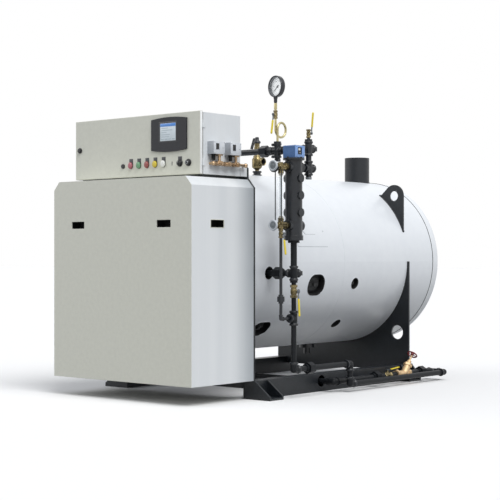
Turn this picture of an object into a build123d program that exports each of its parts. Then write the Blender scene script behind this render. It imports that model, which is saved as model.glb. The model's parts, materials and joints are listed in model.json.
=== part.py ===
"""Packaged industrial boiler: a horizontal steel shell on two skid rails, with a
sheet-metal burner enclosure and a control cabinet in front, and the water column,
gauge, drain and blowdown pipework along its right side.

Units are millimetres. The origin lies on the floor, at the centre of the four
anchor holes. +X is the right side seen from the front, +Y runs to the rear, +Z up.
"""

from math import asin, atan2, cos, degrees, radians, sin, sqrt, tan
import os

from build123d import *

os.makedirs("parts", exist_ok=True)

# Anchoring and skid
anchor_pitch_x = 1180
anchor_hole = 18
rail_height = 105
rail_width = 80
rail_wall = 6
foot_plate = 12
front_foot_length = 123
rear_foot_length = 130
front_foot_reach = 115
rear_foot_reach = 72
foot_toe = 21
foot_ahead = 35
cross_clearance = 60

# Burner enclosure
hood_width = 1100
hood_depth = 514
hood_height = 1135
hood_chamfer_x = 44
hood_chamfer_z = 49
sheet = 3
hand_slot_length = 107
hand_slot_height = 41
hand_slot_drop = 255
hand_slot_offset = 344
side_slot_back = 209
hood_to_anchor = 585
front_plate_thickness = 16
front_plate_rise = 72
front_plate_corner = 12
front_plate_inset = 2
front_plate_shoulder = 8

# Shell
shell_radius = 540
shell_centre_height = 773.5
jacket_wall = 40
vessel_wall = 12
jacket_length = 1848
cap_gap = 3
cap_length = 65
cap_edge = 10
cap_step = 6
seat_gap = 0.3
port_along = 150
port_around = 120
port_corner = 40
plug_hole = 68
flue_outside = 168.3
flue_wall = 3.4
flue_inset = 117
flue_rise = 168
flue_depth = 60

# Saddle and lugs
plate_thickness = 12
saddle_inset = 298
saddle_overhang = 40
saddle_hole = 92
saddle_hole_x = 459
saddle_hole_height = 309
lug_hole = 65
lug_stand_off = 70
lug_round = 73
lug_angle = 44.8
lug_foot_angle = 52.9

# Control cabinet
cabinet_width = 1000
cabinet_height = 338
cabinet_depth = 307
cabinet_setback = 149
cabinet_lift = 16
cabinet_sheet = 2.5
door_depth = 20
door_gap = 5
door_lip = 6
door_sheet = 2
hinge_radius = 4
hinge_offset = 4.6
hinge_length = 40
hinge_inset = 45
hinge_leaf = 3
screen_width = 270
screen_height = 192
screen_crown = 10
screen_depth = 9
screen_x = 270
screen_drop = 111.5
switch_row_height = 64.5
control_pitch = 64.5
button_x = -92
button_diameter = 27
button_reach = 12
lamp_diameter = 30
lamp_lens = 25
lamp_reach = 18
collar_depth = 6
selector_diameter = 40
knob_diameter = 30
knob_reach = 16
latch_inset = 42
latch_diameter = 35
bracket_height = 52
bracket_sheet = 4

# Pressure controls
control_width = 50
control_length = 88
control_height = 70
control_backs = (183, 321)
control_lift = 110
control_window = (3, 27, 35)
window_inset = 28.5
window_rise = 41.5
conduit_inset = 22
conduit_diameter = 34
conduit_drop = 32
neck_inset = 70
neck_hex = 38
manifold_lift = 60
manifold_tube = 16
manifold_fitting = 26
manifold_start_back = 203
manifold_middle_back = 320
manifold_end_back = 474

# Pipes and fittings
main_pipe = 33.4
small_pipe = 27
trim_pipe = 17
siphon_pipe = 13.7
thick_pipe = 30
steam_pipe = 36
valve_pipe = 22
valve_half = 1.1
fitting_reach = 1.25
column_offset = 178
column_back = 666
column_diameter = 97
column_base = 898
column_neck = 28
column_head_room = 39
boss_diameter = 48
boss_reach = 57
boss_fractions = (0.226, 0.517, 0.808)
tapping_diameter = 62
tapping_reach = 62.5
column_flange = 123
column_flange_thickness = 12
head_size_x = 88
head_size_y = 83
head_height = 70
riser_back = 801
riser_drop = 112
riser_stub = 62
steam_rise = 109.5
steam_union_offset = 98
nozzle_collar = 60
loop_radius = 42
loop_rise = 70
loop_step = 15
siphon_length = 134
gauge_rise = 164
gauge_neck = 66
gauge_tube = 19
gauge_case = 127
gauge_depth = 27
gauge_back = 19
gauge_ring = 8
dial_recess = 19
gauge_turn = 12
gauge_x = 489
lower_cross = 713
glass_stand_off = 115
glass_lift = 83
glass_diameter = 16
glass_seat = 36
guard_offset = 22
guard_ahead = 22
guard_end = 19
cock_stem = 62
cock_foot = 22
cock_wheel_diameter = 58
cock_wheel_depth = 12
drain_union = 570
leg_union_offset = 67
leg_valve_top = 648
drain_tee = 460
drain_elbow = 170
floor_line = 52
floor_drop_back = 1200
drain_union_back = 810
line_end_back = 2231
blowdown_x = 640
blowdown_height = 62
blowdown_start_back = 1140
blowdown_valve_back = 1700
blowdown_union_ahead = 120
blowdown_pass = 70
globe_valve_back = 1868
tail_union_back = 2080
nozzle_back = 1700
coupling_diameter = 96

# Safety valve, heights above the shell's top
safety_back = 1194
safety_stages = (
    (seat_gap, 29.5, 44), (14.5, 29.5, 66), (29.5, 130.5, 54), (130.5, 186.5, 34), (182.5, 219.5, 28),
)
outlet_rise = 86.5
outlet_reach = 60
outlet_diameter = 44
outlet_bore = 32
ear_drop = 12
ear_width = 16
ear_thickness = 10
pin_diameter = 5
cheek = 3
cheek_gap = 0.5

# Derived places
plate_to_anchor = hood_to_anchor - hood_depth - front_plate_thickness
anchor_pitch_y = jacket_length - saddle_inset - foot_ahead - plate_to_anchor
front_foot_y = -anchor_pitch_y / 2
rear_foot_y = anchor_pitch_y / 2
hood_front_y = front_foot_y - hood_to_anchor
hood_back_y = hood_front_y + hood_depth
plate_back_y = hood_back_y + front_plate_thickness
hood_bottom = rail_height + 2
hood_top = hood_bottom + hood_height
half_hood = hood_width / 2
jacket_end_y = plate_back_y + jacket_length
cap_start_y = jacket_end_y + cap_gap
vessel_radius = shell_radius - jacket_wall - seat_gap
saddle_y = jacket_end_y - saddle_inset
flue_y = jacket_end_y - flue_inset
rail_inner_x = half_hood - rail_width
rail_end_y = saddle_y + saddle_overhang
column_x = shell_radius + column_offset
column_y = hood_front_y + column_back
riser_y = hood_front_y + riser_back
glass_y = column_y - glass_stand_off
shell_top = shell_centre_height + shell_radius
shell_bottom = shell_centre_height - shell_radius
steam_height = shell_top + steam_rise
riser_lower = steam_height - riser_drop
column_top = riser_lower + column_head_room
glass_top = riser_lower
glass_bottom = column_base + glass_lift
cabinet_front_y = hood_front_y + cabinet_setback
cabinet_bottom = hood_top + cabinet_lift
half_cabinet = cabinet_width / 2
door_back_y = cabinet_front_y - door_gap
door_front_y = door_back_y - door_depth


def finish(piece, name):
    """Label one finished sub-part and write its STEP file."""
    piece.part.label = name
    export_step(piece.part, f"parts/{name}.step")


def rod(start, end, diameter):
    """Add a solid round bar or pipe between two points to the open part."""
    line = Vector(*end) - Vector(*start)
    with Locations(Plane(origin=start, z_dir=line)):
        Cylinder(diameter / 2, line.length, align=(Align.CENTER, Align.CENTER, Align.MIN))


def along(point, direction, distance):
    """Give the point at a distance from another along a unit direction."""
    return tuple(p + d * distance for p, d in zip(point, direction))


def fitting(centre, arms, pipe):
    """Add a malleable-iron elbow, tee or cross: a round body with a band at each mouth."""
    reach = fitting_reach * pipe
    with Locations(centre):
        Sphere(0.6 * pipe)
    for arm in arms:
        rod(centre, along(centre, arm, reach), 1.2 * pipe)
        rod(along(centre, arm, reach - 0.3 * pipe), along(centre, arm, reach), 1.42 * pipe)


def pipe_plug(centre, arm, pipe):
    """Add a square-headed plug screwed into one mouth of a fitting."""
    mouth = along(centre, arm, fitting_reach * pipe)
    rod(mouth, along(mouth, arm, 0.2 * pipe), 0.95 * pipe)
    with Locations(Plane(origin=along(mouth, arm, 0.2 * pipe), z_dir=arm)):
        Box(0.75 * pipe, 0.75 * pipe, 0.45 * pipe, align=(Align.CENTER, Align.CENTER, Align.MIN))


def recess(centre, arm, pipe):
    """Cut the shallow round recess of a flush plug into one mouth of a fitting."""
    with Locations(Plane(origin=along(centre, arm, fitting_reach * pipe), z_dir=arm)):
        Cylinder(pipe / 2, 0.25 * pipe, mode=Mode.SUBTRACT)


def hexagon(start, direction, across_flats, length):
    """Add a hexagonal nut or wrench flat along a direction."""
    with BuildSketch(Plane(origin=start, z_dir=direction)) as flats:
        RegularPolygon(across_flats / 2, 6, major_radius=False)
    extrude(flats.sketch, amount=length)


def bushing(centre, arm, pipe):
    """Add a hexagonal reducing bushing screwed into one mouth of a fitting."""
    hexagon(along(centre, arm, fitting_reach * pipe), arm, 1.2 * pipe, 0.35 * pipe)


def union_joint(centre, direction, pipe):
    """Add a pipe union: two collars with a larger hexagonal ring nut between them."""
    rod(along(centre, direction, -1.15 * pipe), along(centre, direction, 1.15 * pipe), 1.3 * pipe)
    hexagon(along(centre, direction, -0.7 * pipe), direction, 1.8 * pipe, 1.4 * pipe)


def ball_valve_body(centre, direction, stem, pipe):
    """Add a brass ball valve: round body, hexagonal ends and a stem for the lever."""
    half = valve_half * pipe
    rod(along(centre, direction, -half), along(centre, direction, half), pipe)
    hexagon(along(centre, direction, -half), direction, 1.12 * pipe, 0.45 * pipe)
    hexagon(along(centre, direction, half - 0.45 * pipe), direction, 1.12 * pipe, 0.45 * pipe)
    rod(centre, along(centre, stem, 0.95 * pipe), 0.5 * pipe)


def ball_valve_lever(centre, stem, reach, pipe, length, splay):
    """Add a flat steel lever with a hub on the stem, an arm that leans out and a thick grip."""
    hub = along(centre, stem, 0.95 * pipe + 0.3)
    thickness = 3
    width = 12
    rod(hub, along(hub, stem, thickness), 0.8 * pipe)
    rod(along(hub, stem, thickness), along(hub, stem, thickness + 4), 0.4 * pipe)
    profile = Plane(origin=hub, x_dir=reach, z_dir=Vector(*reach).cross(Vector(*stem)) * -1)
    side = 1 if profile.y_dir.dot(Vector(*stem)) > 0 else -1
    bend = 0.16 * length
    slope = atan2(splay, length - bend)
    with BuildSketch(profile) as arm:
        with BuildLine():
            Polyline(
                (0, 0), (bend, 0), (length, side * splay), (length, side * (splay + thickness)),
                (bend, side * thickness), (0, side * thickness), close=True,
            )
        make_face()
    extrude(arm.sketch, amount=width / 2, both=True)
    grip_middle = 0.68 * length
    grip_rise = (grip_middle - bend) * tan(slope) + thickness / 2
    with BuildSketch(profile) as grip:
        with Locations(Location((grip_middle, side * grip_rise, 0), (0, 0, side * degrees(slope)))):
            RectangleRounded(0.64 * length, thickness + 5, 3.5)
    extrude(grip.sketch, amount=width / 2 + 2, both=True)


def handwheel(centre, direction, diameter, rim, spokes):
    """Add a handwheel: a hub, flat spokes and a round rim."""
    rim_radius = (diameter - rim) / 2
    hub_radius = 1.1 * rim
    with Locations(Plane(origin=centre, z_dir=direction)):
        Cylinder(hub_radius, 1.4 * rim)
        with PolarLocations((rim_radius + hub_radius / 2) / 2, spokes):
            Box(rim_radius - hub_radius / 2, 0.7 * rim, 0.55 * rim)
        Torus(rim_radius, rim / 2)


RIGHT, LEFT = (1, 0, 0), (-1, 0, 0)
BACK, FRONT = (0, 1, 0), (0, -1, 0)
UP, DOWN = (0, 0, 1), (0, 0, -1)


# Skid rails: rectangular tube standing on the floor, one under each side
blowdown_start_y = hood_front_y + blowdown_start_back
for side, side_name in ((1, "right"), (-1, "left")):
    with BuildPart() as rail:
        with BuildSketch(Plane.XZ.offset(-plate_back_y)):
            with Locations((side * (half_hood - rail_width / 2), rail_height / 2)):
                Rectangle(rail_width, rail_height)
                Rectangle(rail_width - 2 * rail_wall, rail_height - 2 * rail_wall, mode=Mode.SUBTRACT)
        extrude(amount=-(rail_end_y - plate_back_y))
        if side == 1:
            with Locations((half_hood - rail_width / 2, blowdown_start_y, blowdown_height)):
                Cylinder(blowdown_pass / 2, rail_width + 2, rotation=(0, 90, 0), mode=Mode.SUBTRACT)
    finish(rail, f"rail_{side_name}")


def foot_gusset(side, inner_x, reach, y):
    """Add one bevelled side plate of a foot bracket."""
    outer_x = half_hood + reach
    with BuildSketch(Plane.XZ.offset(-y)) as gusset:
        with BuildLine():
            Polyline(
                (side * inner_x, 0), (side * outer_x, 0), (side * outer_x, foot_toe),
                (side * (half_hood + 4), rail_height), (side * inner_x, rail_height), close=True,
            )
        make_face()
    extrude(gusset.sketch, amount=-foot_plate)


# Foot brackets: two bevelled gussets and a drilled floor plate, welded outside each rail
for row_name, anchor_y, length, reach, first_y in (
    ("front_feet", front_foot_y, front_foot_length, front_foot_reach, plate_back_y - foot_plate),
    ("rear_feet", rear_foot_y, rear_foot_length, rear_foot_reach, rear_foot_y - rear_foot_length / 2),
):
    with BuildPart() as feet:
        for side in (1, -1):
            near_x = rail_inner_x if row_name == "front_feet" else half_hood
            foot_gusset(side, near_x, reach, first_y)
            foot_gusset(side, half_hood, reach, first_y + length - foot_plate)
            with Locations((side * (half_hood + reach / 2), first_y + length / 2, foot_plate / 2)):
                Box(reach, length, foot_plate)
            with Locations((side * anchor_pitch_x / 2, anchor_y, foot_plate / 2)):
                Cylinder(anchor_hole / 2, foot_plate + 2, mode=Mode.SUBTRACT)
    finish(feet, row_name)

# Front plate: the boiler's black front tube plate, which the enclosure is hung on
with BuildPart() as front_plate:
    plate_x = half_hood - front_plate_inset
    chamfer_z = hood_top - hood_chamfer_z + front_plate_inset
    shoulder_z = hood_top + front_plate_shoulder
    plate_top = hood_top + front_plate_rise
    foot_x = rail_inner_x - front_plate_inset
    with BuildSketch(Plane.XZ.offset(-hood_back_y)) as outline:
        with BuildLine():
            Polyline(
                (foot_x, cross_clearance), (foot_x, rail_height), (plate_x, rail_height),
                (plate_x, chamfer_z), (half_cabinet, shoulder_z), (half_cabinet, plate_top),
                (-half_cabinet, plate_top), (-half_cabinet, shoulder_z), (-plate_x, chamfer_z),
                (-plate_x, rail_height), (-foot_x, rail_height), (-foot_x, cross_clearance), close=True,
            )
        make_face()
        fillet(outline.vertices().group_by(Axis.Y)[-1], front_plate_corner)
    extrude(amount=-front_plate_thickness)
finish(front_plate, "front_plate")

# Shell jacket: the insulated outer casing, with rounded hand ports and plug holes
ports = ((-14.9, 1126), (-47, 780))
plugs = ((-14.5, 1516), (-46, 1516))
shell_axis = Plane(origin=(0, plate_back_y, shell_centre_height), x_dir=(1, 0, 0), z_dir=BACK)


def radial_plane(angle, back, radius):
    """Give the plane that faces outward on the right of the shell, at an angle up from level."""
    out = (cos(radians(angle)), 0, sin(radians(angle)))
    origin = (out[0] * radius, hood_front_y + back, shell_centre_height + out[2] * radius)
    return Plane(origin=origin, x_dir=BACK, z_dir=out)


with BuildPart() as shell_jacket:
    with BuildSketch(shell_axis):
        Circle(shell_radius)
        Circle(shell_radius - jacket_wall, mode=Mode.SUBTRACT)
    extrude(amount=jacket_length)
    for angle, back in ports:
        with BuildSketch(radial_plane(angle, back, vessel_radius - jacket_wall)):
            RectangleRounded(port_along, port_around, port_corner)
        extrude(amount=3 * jacket_wall, mode=Mode.SUBTRACT)
    for angle, back in plugs:
        with BuildSketch(radial_plane(angle, back, vessel_radius - jacket_wall)):
            Circle(plug_hole / 2)
        extrude(amount=3 * jacket_wall, mode=Mode.SUBTRACT)
    with Locations(Plane(origin=(shell_radius, column_y, lower_cross), z_dir=LEFT)):
        Cylinder(plug_hole / 2, shell_radius, mode=Mode.SUBTRACT)
    with Locations((0, flue_y, shell_top)):
        Cylinder(flue_outside / 2 + seat_gap, 4 * jacket_wall, mode=Mode.SUBTRACT)
finish(shell_jacket, "shell_jacket")

# Pressure vessel: the plain steel drum inside the jacket, seen through its ports
with BuildPart() as pressure_vessel:
    with BuildSketch(shell_axis):
        Circle(vessel_radius)
        Circle(vessel_radius - vessel_wall, mode=Mode.SUBTRACT)
    extrude(amount=jacket_length - 1)
    with Locations((0, flue_y, shell_top - jacket_wall)):
        Cylinder(flue_outside / 2 + seat_gap, 4 * jacket_wall, mode=Mode.SUBTRACT)
finish(pressure_vessel, "pressure_vessel")

# Port covers: oval handhole covers with a yoke bolt, and screwed plugs in the round holes
with BuildPart() as port_covers:
    for angle, back in ports:
        with BuildSketch(radial_plane(angle, back, vessel_radius + seat_gap)) as cover:
            Ellipse(port_along * 0.36, port_around * 0.34)
        extrude(cover.sketch, amount=12)
        seat = radial_plane(angle, back, vessel_radius + seat_gap + 12)
        with Locations(seat):
            Box(port_along * 0.6, 22, 8, align=(Align.CENTER, Align.CENTER, Align.MIN))
        hexagon(tuple(seat.origin + seat.z_dir * 8), tuple(seat.z_dir), 26, 12)
    for angle, back in plugs:
        seat = radial_plane(angle, back, vessel_radius + seat_gap)
        rod(tuple(seat.origin), tuple(seat.origin + seat.z_dir * 16), plug_hole * 0.62)
        hexagon(tuple(seat.origin + seat.z_dir * 16), tuple(seat.z_dir), 22, 10)
finish(port_covers, "port_covers")

# Rear cap: the turned-over rear cover of the casing, behind a dark seam
with BuildPart() as rear_cap:
    with BuildSketch(Plane(origin=(0, jacket_end_y, shell_centre_height), x_dir=(1, 0, 0), z_dir=BACK)):
        Circle(shell_radius - cap_step)
    extrude(amount=cap_gap)
    with BuildSketch(Plane(origin=(0, cap_start_y, shell_centre_height), x_dir=(1, 0, 0), z_dir=BACK)):
        Circle(shell_radius)
    extrude(amount=cap_length)
    fillet(rear_cap.faces().sort_by(Axis.Y)[-1].edges(), cap_edge)
finish(rear_cap, "rear_cap")

# Flue stub: the open exhaust pipe on top, near the rear
with BuildPart() as flue_stub:
    with BuildSketch(Plane.XY.offset(shell_top - flue_depth)):
        with Locations((0, flue_y)):
            Circle(flue_outside / 2)
            Circle(flue_outside / 2 - flue_wall, mode=Mode.SUBTRACT)
    extrude(amount=flue_depth + flue_rise)
finish(flue_stub, "flue_stub")

# Rear saddle: one plate cut to the shell, standing on both rails
with BuildPart() as rear_saddle:
    with BuildSketch(Plane.XZ.offset(-(saddle_y - plate_thickness / 2))):
        with BuildLine():
            Polyline(
                (2 - rail_inner_x, cross_clearance), (rail_inner_x - 2, cross_clearance),
                (rail_inner_x - 2, rail_height), (half_hood, rail_height),
                (half_hood, shell_centre_height), (-half_hood, shell_centre_height),
                (-half_hood, rail_height), (2 - rail_inner_x, rail_height), close=True,
            )
        make_face()
        with Locations((0, shell_centre_height)):
            Circle(shell_radius + seat_gap, mode=Mode.SUBTRACT)
        for side in (1, -1):
            with Locations((side * saddle_hole_x, saddle_hole_height)):
                Circle(saddle_hole / 2, mode=Mode.SUBTRACT)
    extrude(amount=-plate_thickness)
finish(rear_saddle, "rear_saddle")

# Lifting lugs: rounded ears above the saddle plate, one on each shoulder of the shell
lug_reach = shell_radius + lug_stand_off
lug_hole_x = lug_reach * cos(radians(lug_angle))
lug_hole_z = shell_centre_height + lug_reach * sin(radians(lug_angle))
lug_foot_x = shell_radius * cos(radians(lug_foot_angle))
lug_foot_z = shell_centre_height + shell_radius * sin(radians(lug_foot_angle))
lug_outer_x = lug_hole_x + lug_round
lug_run = sqrt((lug_hole_x - lug_foot_x) ** 2 + (lug_hole_z - lug_foot_z) ** 2)
lean = atan2(lug_hole_z - lug_foot_z, lug_hole_x - lug_foot_x) + asin(lug_round / lug_run)
with BuildPart() as lifting_lugs:
    for side in (1, -1):
        tangent = (side * (lug_hole_x - lug_round * sin(lean)), lug_hole_z + lug_round * cos(lean))
        with BuildSketch(Plane.XZ.offset(-(saddle_y - plate_thickness / 2))) as lug:
            with BuildLine():
                Polyline(
                    (side * lug_foot_x, lug_foot_z), tangent, (side * lug_hole_x, lug_hole_z),
                    (side * lug_hole_x, shell_centre_height), (side * lug_foot_x, shell_centre_height),
                    close=True,
                )
            make_face()
            with BuildLine():
                Polyline(
                    (side * lug_hole_x, lug_hole_z), (side * lug_outer_x, lug_hole_z),
                    (side * lug_outer_x, shell_centre_height), (side * lug_hole_x, shell_centre_height),
                    close=True,
                )
            make_face()
            with Locations((side * lug_hole_x, lug_hole_z)):
                Circle(lug_round)
                Circle(lug_hole / 2, mode=Mode.SUBTRACT)
            with Locations((0, shell_centre_height)):
                Circle(shell_radius + seat_gap, mode=Mode.SUBTRACT)
        extrude(lug.sketch, amount=-plate_thickness)
finish(lifting_lugs, "lifting_lugs")

# Burner enclosure: folded sheets with hand slots, on a floor pan
slot_height = hood_top - hand_slot_drop
with BuildPart() as hood_front:
    with BuildSketch(Plane.XZ.offset(-hood_front_y)):
        with BuildLine():
            Polyline(
                (-half_hood, hood_bottom), (half_hood, hood_bottom),
                (half_hood, hood_top - hood_chamfer_z), (half_hood - hood_chamfer_x, hood_top),
                (hood_chamfer_x - half_hood, hood_top), (-half_hood, hood_top - hood_chamfer_z), close=True,
            )
        make_face()
        for side in (1, -1):
            with Locations((side * hand_slot_offset, slot_height)):
                Rectangle(hand_slot_length, hand_slot_height, mode=Mode.SUBTRACT)
    extrude(amount=-sheet)
finish(hood_front, "hood_front")

for side, side_name in ((1, "right"), (-1, "left")):
    with BuildPart() as hood_side:
        with BuildSketch(Plane.XZ.offset(-(hood_front_y + sheet))):
            with BuildLine():
                Polyline(
                    (side * (half_hood - sheet), hood_bottom), (side * half_hood, hood_bottom),
                    (side * half_hood, hood_top - hood_chamfer_z),
                    (side * (half_hood - hood_chamfer_x), hood_top),
                    (side * (half_hood - hood_chamfer_x), hood_top - 1.35 * sheet),
                    (side * (half_hood - sheet), hood_top - hood_chamfer_z - 0.5 * sheet), close=True,
                )
            make_face()
        extrude(amount=-(hood_depth - sheet))
        with Locations((side * half_hood, hood_front_y + side_slot_back, slot_height)):
            Box(4 * sheet, hand_slot_length, hand_slot_height, mode=Mode.SUBTRACT)
    finish(hood_side, f"hood_{side_name}")

with BuildPart() as hood_roof:
    with Locations((0, hood_front_y + sheet + (hood_depth - sheet) / 2, hood_top - sheet / 2)):
        Box(hood_width - 2 * hood_chamfer_x, hood_depth - sheet, sheet)
finish(hood_roof, "hood_top")

with BuildPart() as hood_floor:
    with Locations((0, hood_front_y + sheet + (hood_depth - sheet) / 2, hood_bottom + sheet / 2)):
        Box(hood_width - 2 * sheet, hood_depth - sheet, sheet)
finish(hood_floor, "hood_floor")

# Control cabinet: an open-fronted box on a black base frame
cabinet_mid_y = cabinet_front_y + cabinet_depth / 2
with BuildPart() as panel_base:
    with BuildSketch(Plane.XY.offset(hood_top)):
        with Locations((0, cabinet_mid_y)):
            Rectangle(cabinet_width - 40, cabinet_depth - 30)
            Rectangle(cabinet_width - 140, cabinet_depth - 130, mode=Mode.SUBTRACT)
    extrude(amount=cabinet_lift)
finish(panel_base, "panel_base")

with BuildPart() as panel_cabinet:
    with Locations((0, cabinet_mid_y, cabinet_bottom + cabinet_height / 2)):
        Box(cabinet_width, cabinet_depth, cabinet_height)
    offset(amount=-cabinet_sheet, openings=panel_cabinet.faces().sort_by(Axis.Y)[0])
finish(panel_cabinet, "panel_cabinet")

# Cabinet hinges: two small pin barrels on leaves at the right front edge
hinge_x = half_cabinet + hinge_offset
leaf_reach = 4 * door_gap
with BuildPart() as panel_hinges:
    for rise in (hinge_inset, cabinet_height - hinge_inset - hinge_length):
        pin_foot = (hinge_x, door_back_y, cabinet_bottom + rise)
        rod(pin_foot, along(pin_foot, UP, hinge_length), 2 * hinge_radius)
        with Locations((half_cabinet, door_back_y, cabinet_bottom + rise)):
            Box(hinge_leaf, leaf_reach, hinge_length, align=(Align.MIN, Align.MIN, Align.MIN))
finish(panel_hinges, "panel_hinges")

# Cabinet door: a shallow pan that closes over the whole front
door_height = cabinet_height + door_lip
door_mid_z = cabinet_bottom + door_height / 2
with BuildPart() as panel_door:
    with Locations((0, door_front_y + door_depth / 2, door_mid_z)):
        Box(cabinet_width, door_depth, door_height)
    fillet(panel_door.faces().sort_by(Axis.Y)[0].edges(), 3)
    with Locations((0, door_back_y, door_mid_z)):
        Box(
            cabinet_width - 2 * door_sheet, 2 * (door_depth - door_sheet),
            door_height - 2 * door_sheet, mode=Mode.SUBTRACT,
        )
finish(panel_door, "panel_door")

# Touch screen: a bezel with arched top and bottom edges
screen_z = cabinet_bottom + cabinet_height - screen_drop
with BuildPart() as touch_screen:
    with BuildSketch(Plane(origin=(screen_x, door_front_y, screen_z), x_dir=RIGHT, z_dir=FRONT)):
        with BuildLine():
            half_w, crest, corner = screen_width / 2, screen_height / 2, screen_height / 2 - screen_crown
            ThreePointArc((-half_w, corner), (0, crest), (half_w, corner))
            Line((half_w, corner), (half_w, -corner))
            ThreePointArc((half_w, -corner), (0, -crest), (-half_w, -corner))
            Line((-half_w, -corner), (-half_w, corner))
        make_face()
    extrude(amount=screen_depth)
finish(touch_screen, "touch_screen")

# Door controls in one row: a push button, five pilot lamps, and two selector switches
row_z = cabinet_bottom + switch_row_height


def door_stub(place, diameter, length):
    """Add one round control that stands out of the door, at a place of the row."""
    x = button_x + place * control_pitch
    rod((x, door_front_y, row_z), (x, door_front_y - length, row_z), diameter)


with BuildPart() as pilot_lamps:
    for place in range(1, 6):
        door_stub(place, lamp_diameter, collar_depth)
        door_stub(place, lamp_lens, lamp_reach)
finish(pilot_lamps, "pilot_lamps")

with BuildPart() as door_switches:
    door_stub(0, button_diameter, button_reach)
    for place in (7, 8):
        door_stub(place, selector_diameter, collar_depth)
        door_stub(place, knob_diameter, knob_reach)
        with Locations((button_x + place * control_pitch, door_front_y - knob_reach, row_z)):
            Box(knob_diameter / 4, collar_depth, 0.9 * knob_diameter)
finish(door_switches, "door_switches")

# Door latch: a round quarter-turn knob near the left edge
latch = (latch_inset - half_cabinet, door_front_y, door_mid_z)
with BuildPart() as door_latch:
    rod(latch, along(latch, FRONT, collar_depth), latch_diameter)
    rod(latch, along(latch, FRONT, 2 * collar_depth), 0.8 * latch_diameter)
finish(door_latch, "door_latch")

# Cabinet brackets: sheet stays from the cabinet's back to the front plate
with BuildPart() as panel_brackets:
    stay = hood_back_y - cabinet_front_y - cabinet_depth
    for side in (1, -1):
        stay_x = side * (half_cabinet - bracket_sheet / 2)
        with Locations((stay_x, hood_back_y - stay / 2, cabinet_bottom + bracket_height / 2)):
            Box(bracket_sheet, stay, bracket_height)
finish(panel_brackets, "panel_brackets")

# Pressure controls: two grey switch boxes on the cabinet's right side, above a manifold
control_bottom = cabinet_bottom + control_lift
control_x = half_cabinet + control_width / 2
with BuildPart() as pressure_controls:
    for back in control_backs:
        near_y = hood_front_y + back
        with Locations((control_x, near_y + control_length / 2, control_bottom + control_height / 2)):
            Box(control_width, control_length, control_height)
        face = (half_cabinet + control_width, near_y + window_inset, control_bottom + window_rise)
        with Locations(face):
            Box(2 * control_window[0], control_window[1], control_window[2], mode=Mode.SUBTRACT)
        gland = (control_x, near_y + conduit_inset, control_bottom)
        rod(gland, along(gland, DOWN, conduit_drop), conduit_diameter)
finish(pressure_controls, "pressure_controls")

# Control manifold: a run of copper tees under the controls, ending on the rear bracket
manifold_z = cabinet_bottom + manifold_lift
with BuildPart() as control_manifold:
    manifold_start = (control_x, hood_front_y + manifold_start_back, manifold_z)
    manifold_end = (control_x, hood_front_y + manifold_end_back, manifold_z)
    rod(manifold_start, manifold_end, manifold_tube)
    for corner in (manifold_start, manifold_end):
        with Locations(corner):
            Sphere(manifold_fitting / 2)
        rod(corner, (half_cabinet, corner[1], manifold_z), manifold_tube)
    for back in [near + neck_inset for near in control_backs] + [manifold_middle_back]:
        tee = (control_x, hood_front_y + back, manifold_z)
        rod(along(tee, FRONT, manifold_fitting), along(tee, BACK, manifold_fitting), manifold_fitting)
        rod(tee, along(tee, RIGHT, 0.8 * manifold_fitting), manifold_fitting)
        hexagon(along(tee, RIGHT, 0.8 * manifold_fitting), RIGHT, 0.7 * manifold_fitting, 5)
        if back != manifold_middle_back:
            rod(tee, (control_x, tee[1], control_bottom), manifold_tube)
            hexagon((control_x, tee[1], control_bottom), DOWN, neck_hex, 7)
finish(control_manifold, "control_manifold")

# Steam line: nozzle on top of the shell, elbow, pipe and union, then the gauge cross
gauge_cross = (gauge_x, riser_y, steam_height)
riser_top = (column_x, riser_y, steam_height)
riser_bottom = (column_x, riser_y, riser_lower)
with BuildPart() as steam_line:
    nozzle_foot = (0, riser_y, shell_top + seat_gap)
    nozzle_elbow = (0, riser_y, steam_height)
    rod(nozzle_foot, nozzle_elbow, main_pipe)
    rod(nozzle_foot, along(nozzle_foot, UP, nozzle_collar / 4), nozzle_collar)
    fitting(nozzle_elbow, (DOWN, RIGHT), main_pipe)
    rod(nozzle_elbow, gauge_cross, steam_pipe)
    union_joint(along(gauge_cross, LEFT, steam_union_offset), RIGHT, main_pipe)
    fitting(gauge_cross, (LEFT, RIGHT, UP, DOWN), main_pipe)
    pipe_plug(gauge_cross, DOWN, main_pipe)
    bushing(gauge_cross, UP, main_pipe)
    rod(gauge_cross, (column_x - fitting_reach * main_pipe, riser_y, steam_height), main_pipe)
finish(steam_line, "steam_line")

# Siphon: the pigtail loop of thin pipe that carries the gauge
siphon_foot = steam_height + (fitting_reach + 0.35) * main_pipe
siphon_top = siphon_foot + siphon_length
stem_x = gauge_x - loop_step
loop_plane = Plane(origin=(gauge_x, riser_y + loop_radius, siphon_foot + loop_rise), x_dir=FRONT, z_dir=LEFT)
with BuildLine() as helix:
    Helix(pitch=loop_step, height=loop_step, radius=loop_radius)
pigtail = loop_plane.from_local_coords(helix.line)
with BuildPart() as siphon:
    with BuildLine() as route:
        Line((gauge_x, riser_y, siphon_foot), pigtail @ 0)
        add(pigtail)
        Line(pigtail @ 1, (stem_x, riser_y, siphon_top + siphon_pipe))
    with BuildSketch(Plane.XY.offset(siphon_foot)):
        with Locations((gauge_x, riser_y)):
            Circle(siphon_pipe / 2)
    sweep(path=route.wires()[0])
    split(bisect_by=Plane.XY.offset(siphon_top), keep=Keep.BOTTOM)
finish(siphon, "siphon")

# Gauge valve: a small brass ball valve with its lever hanging down in front
gauge_valve_z = siphon_top + valve_half * valve_pipe
with BuildPart() as gauge_valve:
    ball_valve_body((stem_x, riser_y, gauge_valve_z), UP, FRONT, valve_pipe)
    rod((stem_x, riser_y, gauge_valve_z), (stem_x, riser_y, gauge_valve_z + gauge_neck), gauge_tube)
finish(gauge_valve, "gauge_valve")

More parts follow.
